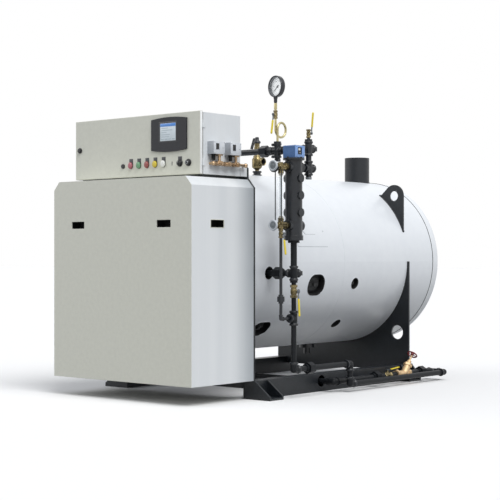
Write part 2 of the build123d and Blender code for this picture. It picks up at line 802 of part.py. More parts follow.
with BuildPart() as gauge_valve_lever:
    ball_valve_lever((stem_x, riser_y, gauge_valve_z), FRONT, DOWN, valve_pipe, 115, 16)
finish(gauge_valve_lever, "gauge_valve_lever")

# Pressure gauge: a round case on a short stem, turned a little to the left
gauge_centre_z = gauge_valve_z + gauge_rise
gauge_face = (-sin(radians(gauge_turn)), -cos(radians(gauge_turn)), 0)
with BuildPart() as pressure_gauge:
    case_back = along((stem_x, riser_y, gauge_centre_z), gauge_face, -gauge_back)
    rod(case_back, along(case_back, gauge_face, gauge_depth), gauge_case)
    front = along(case_back, gauge_face, gauge_depth)
    with BuildSketch(Plane(origin=front, z_dir=gauge_face)) as dial_well:
        Circle(gauge_case / 2 - gauge_ring)
    extrude(dial_well.sketch, amount=-dial_recess, mode=Mode.SUBTRACT)
    socket = (stem_x, riser_y, gauge_valve_z + gauge_neck)
    rod(socket, (stem_x, riser_y, gauge_centre_z - 0.4 * gauge_case), 14)
    hexagon(socket, UP, 22, 14)
finish(pressure_gauge, "pressure_gauge")

# Riser: two crosses that tie the steam line to the top of the water column
with BuildPart() as riser:
    fitting(riser_bottom, (UP, DOWN, FRONT, BACK), main_pipe)
    recess(riser_bottom, BACK, main_pipe)
    pipe_plug(riser_bottom, DOWN, main_pipe)
    rod(riser_bottom, riser_top, main_pipe)
    fitting(riser_top, (UP, DOWN, LEFT, BACK), main_pipe)
    pipe_plug(riser_top, BACK, main_pipe)
    bushing(riser_top, UP, main_pipe)
    rod(riser_top, along(riser_top, UP, riser_stub), gauge_tube)
finish(riser, "riser")

riser_valve_z = steam_height + riser_stub + valve_half * valve_pipe
with BuildPart() as riser_valve:
    ball_valve_body((column_x, riser_y, riser_valve_z), UP, RIGHT, valve_pipe)
finish(riser_valve, "riser_valve")

with BuildPart() as riser_valve_lever:
    ball_valve_lever((column_x, riser_y, riser_valve_z), RIGHT, UP, valve_pipe, 120, 10)
finish(riser_valve_lever, "riser_valve_lever")

# Water column: a cast chamber with a flanged top, a necked base and bossed tappings
chamber_foot = (column_x, column_y, column_base)
chamber_head = (column_x, column_y, column_top)
with BuildPart() as water_column:
    rod(chamber_foot, chamber_head, column_diameter)
    rod(chamber_foot, along(chamber_foot, UP, column_neck), column_diameter + 10)
    rod(chamber_head, along(chamber_head, UP, column_flange_thickness), column_flange)
    for fraction in boss_fractions:
        boss = (column_x, column_y, glass_bottom + fraction * (glass_top - glass_bottom))
        for arm in (LEFT, RIGHT):
            rod(boss, along(boss, arm, boss_reach), boss_diameter)
    for height in (glass_top, glass_bottom):
        tapping = (column_x, column_y, height)
        rod(along(tapping, FRONT, tapping_reach), along(tapping, BACK, tapping_reach), tapping_diameter)
    tap = (column_x, column_y + tapping_reach, riser_lower)
    rod(tap, (column_x, riser_y - fitting_reach * main_pipe, riser_lower), main_pipe)
    recess((column_x, column_y + tapping_reach - fitting_reach * main_pipe, glass_bottom), BACK, main_pipe)
finish(water_column, "water_column")

# Level control head: the blue housing on the column, with a small window
with BuildPart() as level_head:
    head_bottom = column_top + column_flange_thickness
    with Locations((column_x, column_y, head_bottom + head_height / 2)):
        Box(head_size_x, head_size_y, head_height)
    fillet(level_head.faces().sort_by(Axis.Z)[-1].edges(), 4)
    with Locations((column_x + head_size_x / 2, column_y, head_bottom + 38)):
        Box(6, 41, 43, mode=Mode.SUBTRACT)
finish(level_head, "level_control_head")

# Gauge glass: brass cocks at both tappings, the glass tube and its guard rods
tap_face_y = column_y - tapping_reach
guard_y = glass_y - guard_ahead
with BuildPart() as glass_cocks:
    for height, inward in ((glass_top, DOWN), (glass_bottom, UP)):
        seat = (column_x, glass_y, height)
        rod((column_x, tap_face_y, height), seat, 24)
        hexagon((column_x, tap_face_y, height), FRONT, 34, 14)
        rod(seat, along(seat, FRONT, cock_stem / 2), 27)
        hexagon(along(seat, FRONT, cock_stem / 3), FRONT, 31, cock_stem / 6)
        rod(seat, along(seat, FRONT, cock_stem - seat_gap), 11)
        rod(along(seat, inward, -cock_foot), along(seat, inward, guard_end), 29)
        hexagon(along(seat, inward, guard_end), inward, 29, glass_seat - guard_end)
        with Locations(along((column_x, glass_y, height), inward, guard_end - 6)):
            Box(2 * guard_offset, 2 * guard_ahead, 8)
        for side in (1, -1):
            lug_foot = along((column_x + side * guard_offset, guard_y, height), inward, guard_end - 12)
            rod(lug_foot, along(lug_foot, inward, 12), 10)
finish(glass_cocks, "glass_cocks")

with BuildPart() as glass_tube:
    tube_foot = (column_x, glass_y, glass_bottom + glass_seat)
    rod(tube_foot, (column_x, glass_y, glass_top - glass_seat), glass_diameter)
finish(glass_tube, "glass_tube")

with BuildPart() as guard_rods:
    for side in (1, -1):
        rod(
            (column_x + side * guard_offset, guard_y, glass_bottom + guard_end),
            (column_x + side * guard_offset, guard_y, glass_top - guard_end), 6,
        )
finish(guard_rods, "guard_rods")

for height, wheel_name in ((glass_top, "upper_cock_wheel"), (glass_bottom, "lower_cock_wheel")):
    with BuildPart() as cock_wheel:
        wheel_back = (column_x, glass_y - cock_stem, height)
        rod(wheel_back, along(wheel_back, FRONT, cock_wheel_depth), cock_wheel_diameter)
        fillet(cock_wheel.faces().sort_by(Axis.Y)[0].edges(), cock_wheel_depth / 3)
    finish(cock_wheel, wheel_name)

# Glass drain: a brass valve under the lower cock and a thin pipe down to the drain tee
drain_valve_z = glass_bottom - cock_foot - valve_half * valve_pipe
with BuildPart() as glass_drain_valve:
    ball_valve_body((column_x, glass_y, drain_valve_z), UP, RIGHT, valve_pipe)
finish(glass_drain_valve, "glass_drain_valve")

with BuildPart() as glass_drain_lever:
    ball_valve_lever((column_x, glass_y, drain_valve_z), RIGHT, DOWN, valve_pipe, 118, 12)
finish(glass_drain_lever, "glass_drain_lever")

tee_centre = (column_x, column_y, drain_tee)
with BuildPart() as glass_drain_pipe:
    pipe_top = drain_valve_z - valve_half * valve_pipe
    rod((column_x, glass_y, pipe_top), (column_x, glass_y, drain_tee), trim_pipe)
    union_joint((column_x, glass_y, drain_union), UP, 1.25 * trim_pipe)
    fitting((column_x, glass_y, drain_tee), (UP, BACK), trim_pipe)
    rod((column_x, glass_y, drain_tee), (column_x, column_y - fitting_reach * main_pipe, drain_tee), trim_pipe)
finish(glass_drain_pipe, "glass_drain_pipe")

# Column leg: pipe from the column's base to the cross that ties it to the shell
cross_centre = (column_x, column_y, lower_cross)
with BuildPart() as column_leg:
    rod((column_x, column_y, column_base), cross_centre, 36)
    hexagon((column_x, column_y, column_base), DOWN, 62, 14)
    fitting(cross_centre, (UP, DOWN, LEFT, BACK), main_pipe)
    pipe_plug(cross_centre, BACK, main_pipe)
    leg_drop = max(abs(shell_centre_height - lower_cross) - main_pipe / 2, 0)
    leg_end_x = sqrt(vessel_radius**2 - leg_drop**2) + seat_gap
    rod(cross_centre, (leg_end_x, column_y, lower_cross), main_pipe)
    union_joint((shell_radius + leg_union_offset, column_y, lower_cross), RIGHT, main_pipe)
    bushing(cross_centre, DOWN, main_pipe)
    rod(cross_centre, (column_x, column_y, leg_valve_top), small_pipe)
finish(column_leg, "column_leg")

leg_valve_z = leg_valve_top - valve_half * main_pipe
with BuildPart() as leg_valve:
    ball_valve_body((column_x, column_y, leg_valve_z), UP, RIGHT, main_pipe)
finish(leg_valve, "leg_valve")

with BuildPart() as leg_valve_lever:
    ball_valve_lever((column_x, column_y, leg_valve_z), RIGHT, DOWN, main_pipe, 142, 8)
finish(leg_valve_lever, "leg_valve_lever")

# Drain line: down to the floor, back along the skid, and out to the tail tee
elbow = (column_x, column_y, drain_elbow)
drop_top = (column_x, hood_front_y + floor_drop_back, drain_elbow)
drop_foot = (column_x, hood_front_y + floor_drop_back, floor_line)
line_end = (column_x, hood_front_y + line_end_back, floor_line)
tail_tee = (blowdown_x, hood_front_y + line_end_back, floor_line)
with BuildPart() as drain_line:
    rod((column_x, column_y, leg_valve_z - valve_half * main_pipe), tee_centre, small_pipe)
    fitting(tee_centre, (UP, DOWN, FRONT), main_pipe)
    rod(tee_centre, elbow, thick_pipe)
    fitting(elbow, (UP, BACK), main_pipe)
    rod(elbow, drop_top, main_pipe)
    union_joint((column_x, hood_front_y + drain_union_back, drain_elbow), BACK, main_pipe)
    fitting(drop_top, (FRONT, DOWN), main_pipe)
    rod(drop_top, drop_foot, main_pipe)
    fitting(drop_foot, (UP, BACK), main_pipe)
    rod(drop_foot, line_end, main_pipe)
    fitting(line_end, (FRONT, LEFT), main_pipe)
    rod(line_end, tail_tee, main_pipe)
    fitting(tail_tee, (FRONT, LEFT, RIGHT), main_pipe)
finish(drain_line, "drain_line")

# Blowdown line: from the shell's belly, through the rail, to a ball valve and a globe valve
blow_start = (blowdown_x, blowdown_start_y, blowdown_height)
with BuildPart() as blowdown_line:
    belly = (0, blowdown_start_y, blowdown_height)
    rod((0, blowdown_start_y, shell_bottom - seat_gap), belly, main_pipe)
    fitting(belly, (UP, RIGHT), main_pipe)
    rod(belly, blow_start, main_pipe)
    fitting(blow_start, (LEFT, BACK), main_pipe)
    blow_valve_y = hood_front_y + blowdown_valve_back
    rod(blow_start, (blowdown_x, blow_valve_y - valve_half * main_pipe, blowdown_height), main_pipe)
    union_joint((blowdown_x, blow_valve_y - blowdown_union_ahead, blowdown_height), BACK, main_pipe)
finish(blowdown_line, "blowdown_line")

with BuildPart() as blowdown_valve:
    ball_valve_body((blowdown_x, blow_valve_y, blowdown_height), BACK, UP, main_pipe)
finish(blowdown_valve, "blowdown_valve")

with BuildPart() as blowdown_lever:
    ball_valve_lever((blowdown_x, blow_valve_y, blowdown_height), UP, BACK, main_pipe, 130, 10)
finish(blowdown_lever, "blowdown_lever")

# Globe valve: a bronze Y-pattern body whose bonnet leans to the rear, with a handwheel
globe_y = hood_front_y + globe_valve_back
globe_half = 72
globe_body = 40
globe_nut = 50
globe_bonnet = 62
globe_neck = 96
globe_stem = 140
globe_wheel_diameter = 70
globe_rim = 9
lean_angle = 51
bonnet = (0, cos(radians(lean_angle)), sin(radians(lean_angle)))
globe_centre = (blowdown_x, globe_y + 20, blowdown_height)
with BuildPart() as globe_valve:
    inlet = (blowdown_x, globe_y - globe_half, blowdown_height)
    outlet = (blowdown_x, globe_y + globe_half, blowdown_height)
    rod(inlet, outlet, globe_body)
    hexagon(inlet, BACK, globe_nut, 0.3 * globe_half)
    hexagon(outlet, FRONT, globe_nut, 0.3 * globe_half)
    rod(globe_centre, along(globe_centre, bonnet, globe_bonnet), 1.1 * globe_body)
    hexagon(along(globe_centre, bonnet, 0.9 * globe_bonnet), bonnet, globe_nut, 0.26 * globe_bonnet)
    rod(along(globe_centre, bonnet, globe_bonnet), along(globe_centre, bonnet, globe_neck), 0.7 * globe_body)
    rod(along(globe_centre, bonnet, globe_neck), along(globe_centre, bonnet, globe_stem), 11)
finish(globe_valve, "globe_valve")

with BuildPart() as globe_nipple:
    rod(
        (blowdown_x, blow_valve_y + valve_half * main_pipe, blowdown_height),
        (blowdown_x, globe_y - globe_half, blowdown_height), main_pipe,
    )
finish(globe_nipple, "blowdown_nipple")

with BuildPart() as globe_tail:
    rod(
        (blowdown_x, globe_y + globe_half, blowdown_height),
        (blowdown_x, tail_tee[1] - fitting_reach * main_pipe, blowdown_height), main_pipe,
    )
    union_joint((blowdown_x, hood_front_y + tail_union_back, blowdown_height), BACK, main_pipe)
finish(globe_tail, "blowdown_tail")

with BuildPart() as globe_wheel:
    wheel_centre = along(globe_centre, bonnet, globe_stem + seat_gap + 0.7 * globe_rim)
    handwheel(wheel_centre, bonnet, globe_wheel_diameter, globe_rim, 5)
finish(globe_wheel, "globe_handwheel")

# Safety valve: a black flange, a brass body with a side outlet and a capped bonnet
safety_y = hood_front_y + safety_back
outlet_z = shell_top + outlet_rise
pivot_z = shell_top + safety_stages[-1][1] + ear_drop
with BuildPart() as safety_valve:
    for low, high, diameter in safety_stages:
        rod((0, safety_y, shell_top + low), (0, safety_y, shell_top + high), diameter)
    outlet_mouth = (outlet_reach, safety_y, outlet_z)
    rod((0, safety_y, outlet_z), outlet_mouth, outlet_diameter)
    hexagon(outlet_mouth, LEFT, outlet_diameter + 8, outlet_diameter / 3)
    with Locations((0, safety_y, pivot_z)):
        Box(ear_width, ear_thickness, 2 * ear_drop)
    with Locations(Plane(origin=(0, safety_y, pivot_z), z_dir=BACK)):
        Cylinder(pin_diameter / 2 + 0.1, 2 * ear_thickness, mode=Mode.SUBTRACT)
    with Locations(Plane(origin=outlet_mouth, z_dir=LEFT)):
        Cylinder(outlet_bore / 2, 2 * outlet_bore, mode=Mode.SUBTRACT)
finish(safety_valve, "safety_valve")

# Safety valve lever: a fork on a pin through the cap's ear, hanging at the left
with BuildPart() as safety_lever:
    for side in (1, -1):
        near = safety_y + side * (ear_thickness / 2 + cheek_gap)
        with BuildSketch(Plane(origin=(0, near, pivot_z), x_dir=RIGHT, z_dir=BACK)) as fork:
            with BuildLine():
                Polyline((0, -5), (-26, -5), (-50, 60), (-41, 63), (-20, 5), (0, 5), close=True)
            make_face()
            Circle(7)
        extrude(fork.sketch, amount=side * cheek)
    half_fork = ear_thickness / 2 + cheek_gap + cheek
    rod((0, safety_y - half_fork - 2, pivot_z), (0, safety_y + half_fork + 2, pivot_z), pin_diameter)
    rod((-45, safety_y - half_fork, pivot_z - 58), (-45, safety_y + half_fork, pivot_z - 58), 8)
finish(safety_lever, "safety_valve_lever")

# Bottom nozzle: the capped drain coupling under the shell
with BuildPart() as bottom_nozzle:
    nozzle_y = hood_front_y + nozzle_back
    coupling = (0, nozzle_y, shell_bottom - seat_gap)
    rod(coupling, along(coupling, DOWN, coupling_diameter / 4), coupling_diameter)
    rod(coupling, along(coupling, DOWN, 2 * coupling_diameter / 3), 1.2 * main_pipe)
finish(bottom_nozzle, "bottom_nozzle")
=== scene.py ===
"""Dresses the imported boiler: finishes for its CAD pieces, and the trim that the solids leave out.

Places come from the frame, in metres; sizes of small parts are in millimetres.
"""

import json
from math import atan2, cos, pi, radians, sin, sqrt

import bmesh
import bpy
from mathutils import Matrix, Vector


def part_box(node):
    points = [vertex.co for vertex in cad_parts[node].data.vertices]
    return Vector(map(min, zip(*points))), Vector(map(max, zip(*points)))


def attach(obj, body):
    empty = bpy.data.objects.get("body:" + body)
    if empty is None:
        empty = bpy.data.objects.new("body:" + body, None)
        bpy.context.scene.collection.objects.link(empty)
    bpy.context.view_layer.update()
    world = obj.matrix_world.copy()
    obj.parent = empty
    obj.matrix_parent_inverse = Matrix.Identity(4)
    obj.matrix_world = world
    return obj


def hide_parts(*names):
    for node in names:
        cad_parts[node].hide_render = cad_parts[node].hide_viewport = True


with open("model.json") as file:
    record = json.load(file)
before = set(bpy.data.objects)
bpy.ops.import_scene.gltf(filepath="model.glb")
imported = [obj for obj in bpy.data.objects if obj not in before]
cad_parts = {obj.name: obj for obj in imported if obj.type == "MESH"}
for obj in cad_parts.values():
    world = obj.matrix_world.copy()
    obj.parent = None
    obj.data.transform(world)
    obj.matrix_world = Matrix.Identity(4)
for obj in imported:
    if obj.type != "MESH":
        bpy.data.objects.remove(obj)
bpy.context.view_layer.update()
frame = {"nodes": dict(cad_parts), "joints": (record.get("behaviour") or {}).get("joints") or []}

# Studio: a white sweep under soft daylight, seen level from the right of the front corner.
# The floor shows white to the lens and in reflections, and throws back less than that.
studio = bpy.context.scene
studio.view_settings.view_transform = "Standard"
lens = bpy.data.cameras.new("lens")
lens.sensor_width = 36
lens.lens = 95.67
lens.shift_y = 0.0086
lens.clip_end = 200
tripod = bpy.data.objects.new("tripod", lens)
tripod.location = (5.397, -6.498, 0.82)
tripod.rotation_euler = (radians(90), 0, radians(40.546))
studio.collection.objects.link(tripod)
studio.camera = tripod


def add(tree, kind, inputs=None, **settings):
    """Add one shader node with its settings, and set or link its inputs."""
    made = tree.nodes.new(kind)
    for key, value in settings.items():
        setattr(made, key, value)
    for key, value in (inputs or {}).items():
        if isinstance(value, bpy.types.NodeSocket):
            tree.links.new(value, made.inputs[key])
        else:
            made.inputs[key].default_value = value
    return made


def linear(code):
    """Turn an sRGB hex colour into Blender's linear one."""
    parts = [int(code[at:at + 2], 16) / 255 for at in (1, 3, 5)]
    return [p / 12.92 if p <= 0.04045 else ((p + 0.055) / 1.055) ** 2.4 for p in parts] + [1]


def seen(tree):
    """Give a factor that is 1 for what the lens, a mirror or a glass looks at."""
    path = add(tree, "ShaderNodeLightPath").outputs
    shown = add(tree, "ShaderNodeMath", {0: path["Is Camera Ray"], 1: path["Is Glossy Ray"]},
                operation="MAXIMUM")
    either = add(tree, "ShaderNodeMath", {0: shown.outputs[0], 1: path["Is Transmission Ray"]},
                 operation="MAXIMUM")
    return either.outputs[0]


sky = bpy.data.worlds.new("sky")
studio.world = sky
sky.use_nodes = True
room = sky.node_tree
backdrop = add(room, "ShaderNodeBackground", {"Color": linear("#FFFFFF"), "Strength": 1.0})
daylight = add(room, "ShaderNodeBackground", {"Color": linear("#F6F9FE"), "Strength": 0.48})
both = add(room, "ShaderNodeMixShader", {0: seen(room), 1: daylight.outputs[0], 2: backdrop.outputs[0]})
room.links.new(both.outputs[0], room.nodes["World Output"].inputs["Surface"])

for lamp_name, strength, spread, way in (
    ("window", 2.4, 42, (0.59, -0.2, 0.78)),
    ("left_fill", 0.62, 50, (-0.7, -0.52, 0.5)),
):
    sun = bpy.data.lights.new(lamp_name, "SUN")
    sun.energy = strength
    sun.angle = radians(spread)
    hung = bpy.data.objects.new(lamp_name, sun)
    hung.rotation_euler = Vector(way).to_track_quat("Z", "Y").to_euler()
    studio.collection.objects.link(hung)

sweep = bpy.data.materials.new("white_painted_sweep")
sweep.use_nodes = True
paint = sweep.node_tree
tone = add(paint, "ShaderNodeMix", {0: seen(paint), 6: linear("#8E8E8E"), 7: linear("#F1F1F1")},
           data_type="RGBA")
cloudy = add(paint, "ShaderNodeTexNoise", {"Scale": 0.6})
matt = add(paint, "ShaderNodeMapRange", {"Value": cloudy.outputs["Fac"], "To Min": 0.85, "To Max": 1.0})
skin = paint.nodes["Principled BSDF"]
paint.links.new(tone.outputs[2], skin.inputs["Base Color"])
paint.links.new(matt.outputs[0], skin.inputs["Roughness"])
skin.inputs["Specular IOR Level"].default_value = 0.0
floor_mesh = bpy.data.meshes.new("floor")
floor_half = 60
floor_mesh.from_pydata([(x * floor_half, y * floor_half, 0) for x, y in ((-1, -1), (1, -1), (1, 1), (-1, 1))],
                       [], [(0, 1, 2, 3)])
floor_mesh.materials.append(sweep)
floor = bpy.data.objects.new("floor", floor_mesh)
studio.collection.objects.link(floor)

# Skid, front plate, saddle and lugs: hot-rolled steel plate and tube, cut, welded and sprayed
# with satin black enamel, which pools a little and rubs thin along the edges; a painted highlight
# lightens those edges too.


def finish(name, pale, dark, grain, rough, swing=0.06, dent=0.0, edge=0.0, edge_wear_and_highlight=None, stretch=(1, 1, 1),
           **plain):
    """Make one finish: two sRGB tones mottled at a grain in mm, with roughness and bump that follow it.

    dent is the bump's depth and edge the rounding seen at corners, both in mm; edge_wear_and_highlight is the
    tone of rubbed corners, which also paints a highlight along every edge; stretch draws the grain out along
    an axis; plain sets the shader's own values.
    """
    made = bpy.data.materials.new(name)
    made.use_nodes = True
    tree = made.node_tree
    skin = tree.nodes["Principled BSDF"]
    place = add(tree, "ShaderNodeTexCoord").outputs["Object"]
    scale = [1000 / grain / pull for pull in stretch]
    grid = add(tree, "ShaderNodeVectorMath", {0: place, 1: scale}, operation="MULTIPLY").outputs[0]
    fine = add(tree, "ShaderNodeTexNoise", {"Vector": grid, "Scale": 1.0, "Detail": 4.0}).outputs["Fac"]
    broad = add(tree, "ShaderNodeTexNoise", {"Vector": grid, "Scale": 0.13, "Detail": 2.0}).outputs["Fac"]
    cloud = add(tree, "ShaderNodeMath", {0: fine, 1: broad}, operation="ADD").outputs[0]
    share = add(tree, "ShaderNodeMapRange", {"Value": cloud, "From Min": 0.7, "From Max": 1.3}).outputs[0]
    tone = add(tree, "ShaderNodeMix", {0: share, 6: linear(dark), 7: linear(pale)},
               data_type="RGBA").outputs[2]
    normal = None
    if edge:
        normal = add(tree, "ShaderNodeBevel", {"Radius": edge / 1000}, samples=4).outputs[0]
    # Corners turn toward the edge tone: rubbed wear, and a painted highlight along every edge
    if edge_wear_and_highlight:
        flat = add(tree, "ShaderNodeNewGeometry").outputs["Normal"]
        turn_off = add(tree, "ShaderNodeVectorMath", {0: normal, 1: flat},
                       operation="DOT_PRODUCT").outputs["Value"]
        corner = add(tree, "ShaderNodeMapRange",
                     {"Value": turn_off, "From Min": 0.98, "From Max": 0.78}).outputs[0]
        rubbed_and_lit = add(tree, "ShaderNodeMath", {0: corner, 1: fine}, operation="MULTIPLY").outputs[0]
        tone = add(tree, "ShaderNodeMix", {0: rubbed_and_lit, 6: tone, 7: linear(edge_wear_and_highlight)}, data_type="RGBA").outputs[2]
    gloss = add(tree, "ShaderNodeMapRange", {"Value": fine, "To Min": rough + swing, "To Max": rough - swing})
    tree.links.new(tone, skin.inputs["Base Color"])
    tree.links.new(gloss.outputs[0], skin.inputs["Roughness"])
    if dent:
        relief = {"Height": fine, "Distance": dent / 1000, "Strength": 1.0}
        if normal:
            relief["Normal"] = normal
        normal = add(tree, "ShaderNodeBump", relief).outputs[0]
    if normal:
        tree.links.new(normal, skin.inputs["Normal"])
    for key, value in plain.items():
        skin.inputs[key.replace("_", " ")].default_value = value
    return made


def dress(surface, *names):
    """Give CAD pieces their finish."""
    for name in names:
        for place in frame["nodes"][name].material_slots:
            place.material = surface


# Satin black enamel: deep grey that lifts to charcoal at grazing light, with soft edges
black_enamel = finish("satin_black_enamel", "#1E2227", "#13171B", 9, 0.38, 0.1, 0.05, 1.6, "#383D43",
                      Specular_IOR_Level=0.44)
dress(black_enamel, "rail_right", "rail_left", "front_feet", "rear_feet", "front_plate", "rear_saddle",
      "lifting_lugs", "flue_stub", "panel_base")

UP = Vector((0, 0, 1))


def seat(point, outward, upward=UP):
    """Give a seat's frame: Z points outward, and Y as near upward as it can."""
    z = Vector(outward).normalized()
    x = Vector(upward).cross(z).normalized()
    return Matrix.Translation(point) @ Matrix((x, z.cross(x), z)).transposed().to_4x4()


def bead(form, points, radius, steps=6, closed=False, ripple=0.0):
    """Add a round bead or wire of a radius in mm along points in metres."""
    count = len(points)
    rings = []
    for at, point in enumerate(points):
        ahead = points[(at + 1) % count] if closed or at + 1 < count else point
        behind = points[at - 1] if closed or at else point
        frame_here = seat(point, ahead - behind, Vector((0.31, 0.52, 0.8)))
        size = radius / 1000 * (1 + ripple * sin(at * 2.4))
        spokes = [2 * pi * step / steps for step in range(steps)]
        rings.append([form.verts.new(frame_here @ Vector((size * cos(a), size * sin(a), 0))) for a in spokes])
    pairs = list(zip(rings, rings[1:])) + ([(rings[-1], rings[0])] if closed else [])
    for near, far in pairs:
        for step in range(steps):
            after = (step + 1) % steps
            form.faces.new((near[step], near[after], far[after], far[step]))
    if not closed:
        form.faces.new(rings[0][::-1])
        form.faces.new(rings[-1])


def piece(name, form, surface, body, slot, *stands_for):
    """Turn a form into a named piece that rides on a body."""
    mesh = bpy.data.meshes.new(name)
    bmesh.ops.recalc_face_normals(form, faces=form.faces)
    form.to_mesh(mesh)
    form.free()
    mesh.shade_smooth()
    mesh.set_sharp_from_angle(angle=radians(38))
    mesh.materials.append(surface)
    made = bpy.data.objects.new(name, mesh)
    studio.collection.objects.link(made)
    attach(made, body)
    if stands_for:
        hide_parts(*stands_for)
    return made


saddle_low, saddle_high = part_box("rear_saddle")
shell_low, shell_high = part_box("shell_jacket")
shell_radius = (shell_high.x - shell_low.x) / 2
shell_z = (shell_high.z + shell_low.z) / 2


def round_shell(angle, back, stand_off=0.0):
    """Give a point on the shell's skin: degrees up from level on the right, and metres back."""
    reach = shell_radius + stand_off
    return Vector((reach * cos(radians(angle)), back, shell_z + reach * sin(radians(angle))))


# Fillet welds run along the saddle under the shell, along both lugs, and where the saddle stands on the rails
weld_arcs = ((-180, 0), (21, 54), (126, 159))
weld_ripple = 0.12
rail_top, foot_start, foot_step = 0.105, 0.474, 0.0019
welds = bmesh.new()
for face_y in (saddle_low.y, saddle_high.y):
    for first, last in weld_arcs:
        arc = [round_shell(first + (last - first) * k / 120, face_y, 0.002) for k in range(121)]
        bead(welds, arc, 4, ripple=weld_ripple)
for side in (1, -1):
    for face_y in (saddle_low.y, saddle_high.y):
        foot = [Vector((side * (foot_start + foot_step * k), face_y, rail_top)) for k in range(39)]
        bead(welds, foot, 3.5, ripple=weld_ripple)
piece("saddle_welds", welds, black_enamel, "boiler", "black_paint")

# Shell: rolled sheet casing over the pressure vessel, sprayed with gloss white enamel.
# The rear cap is made the same way and meets it at a thin dark seam. The enamel gives an even,
# cool white with one broad soft highlight.
white_enamel = finish("gloss_white_enamel", "#E4E8EC", "#DFE3E8", 60, 0.31, 0.015)
dress(white_enamel, "shell_jacket", "rear_cap")
# Shop primer, nearly black and quite matt: what shows of the drum inside the ports
primer = finish("black_primer", "#17181A", "#0C0D0E", 14, 0.7, 0.1, 0.2)
dress(primer, "pressure_vessel", "port_covers")

seam_y = 0.075
seams = bmesh.new()
bead(seams, [round_shell(3 * k, seam_y, -0.0002) for k in range(120)], 1.2, closed=True)
piece("jacket_seam", seams, white_enamel, "boiler", "jacket_paint")
cap_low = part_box("rear_cap")[0]
cap_gasket = bmesh.new()
bead(cap_gasket, [round_shell(3 * k, cap_low.y, -0.0004) for k in range(120)], 2.6, closed=True)

# The lap of the lower casing sheet, closed with mastic: a dull grey hairline. Its grey also paints
# the shadow under the lap's edge.
mastic_and_shadow = finish("grey_mastic_with_painted_shadow", "#A9AFB2", "#959B9F", 6, 0.6, 0.08, 0.1)
lap = bmesh.new()
lap_angle, hook_angle, rivet_angle, rivet_y = 9.8, 17.85, 20.1, -0.105
hook_turn = [pi / 16 * k for k in range(8, -1, -1)]
bead(lap, [round_shell(lap_angle + 2.6 - 0.26 * k, -0.375, 0.0) for k in range(10)]
     + [round_shell(lap_angle, -0.374 + 0.012 * k, 0.0) for k in range(25)], 1.1)
bead(lap, [round_shell(hook_angle + 2 * cos(a), -0.286 + 0.02 * (sin(a) - 1), 0.0) for a in hook_turn]
     + [round_shell(hook_angle, -0.285 + 0.012 * k, 0.0) for k in range(9)], 0.8)
bead(lap, [round_shell(rivet_angle, rivet_y, -0.001), round_shell(rivet_angle, rivet_y, 0.0012)], 3.2, 12)
piece("jacket_lap", lap, mastic_and_shadow, "boiler", "jacket_paint")


def loop(width, height, corner, steps=6):
    """Give a rounded rectangle as (x, y) points in mm."""
    points = []
    for quarter, (sx, sy) in enumerate(((1, 1), (-1, 1), (-1, -1), (1, -1))):
        for step in range(steps + 1):
            a = pi / 2 * (quarter + step / steps)
            points.append((sx * (width / 2 - corner) + corner * cos(a),
                           sy * (height / 2 - corner) + corner * sin(a)))
    return points


def skin_between(form, loops, cap_first=False, cap_last=False):
    """Join loops of points into one skin, with its first or last loop closed if asked."""
    rows = [[form.verts.new(point) for point in points] for points in loops]
    for near, far in zip(rows, rows[1:]):
        for at in range(len(near)):
            after = (at + 1) % len(near)
            form.faces.new((near[at], near[after], far[after], far[at]))
    if cap_first:
        form.faces.new(rows[0][::-1])
    if cap_last:
        form.faces.new(rows[-1])


BACK = Vector((0, 1, 0))


def port_line(angle, offset, back, points, depth):
    """Bend (x, y) points in mm round the shell at a depth in mm, on a seat an angle up from level."""
    out = Vector((cos(radians(angle)), 0, sin(radians(angle))))
    up = Vector((-sin(radians(angle)), 0, cos(radians(angle))))
    axis = Vector((0, back, shell_z))
    line = []
    for x, y in points:
        rise = offset + y
        reach = sqrt((1000 * shell_radius - depth) ** 2 - rise ** 2)
        line.append(axis + (out * reach + up * rise + BACK * x) / 1000)
    return line


def port_lip(port, grow, depth):
    """Give a port's outline, grown by a width in mm, at a depth in mm."""
    angle, offset, back, length, width, corner = port
    rounder = corner + grow / 2 if grow < 1 else min(corner + 1.6 * grow, (width + grow) / 2 - 0.1)
    return port_line(angle, offset, back, loop(length + grow, width + grow, rounder, 9), depth)


# Hand ports and plug holes: each has a thin rolled lip and a black rubber sleeve through the lagging.
# Each is given by its angle up, its offset in mm, its place back in metres and its outline, and by
# its sleeve's brim in mm.
hand_port, plug_hole = (150, 120, 40), (68, 68, 33.9)
port_holes = (((-14.9, 0, -0.189, *hand_port), 12), ((-47, 0, -0.535, *hand_port), 4),
              ((-14.5, 0, 0.201, *plug_hole), 4), ((-46, 0, 0.201, *plug_hole), 4),
              ((0, -60.5, -0.649, *plug_hole), 6))
rims, sleeves = bmesh.new(), bmesh.new()
for port, brim in port_holes:
    bead(rims, port_lip(port, brim + 2.4, 0), 1.3, closed=True)
    sleeve_steps = ((brim + 1.5, 0.4), (brim, -0.9), (1.2, -1.1), (-1, 0.4), (-6, 3), (-7, 6), (-7, 39))
    skin_between(sleeves, [port_lip(port, grow, depth) for grow, depth in sleeve_steps])
piece("port_rims", rims, white_enamel, "boiler", "jacket_paint")
# Moulded rubber: a matt black that stays black in hollows
rubber = finish("black_rubber", "#121214", "#0A0A0B", 5, 0.7, 0.05, 0.1, Specular_IOR_Level=0.25)
piece("port_sleeves", sleeves, rubber, "boiler", "black_paint")
piece("cap_gasket", cap_gasket, rubber, "boiler", "black_paint")

# Flue stub: a short steel tube that stands in the shell's top, in the skid's black enamel.
# A fillet weld runs round its foot, on the shell's curve.
stub_low, stub_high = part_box("flue_stub")
collars = bmesh.new()


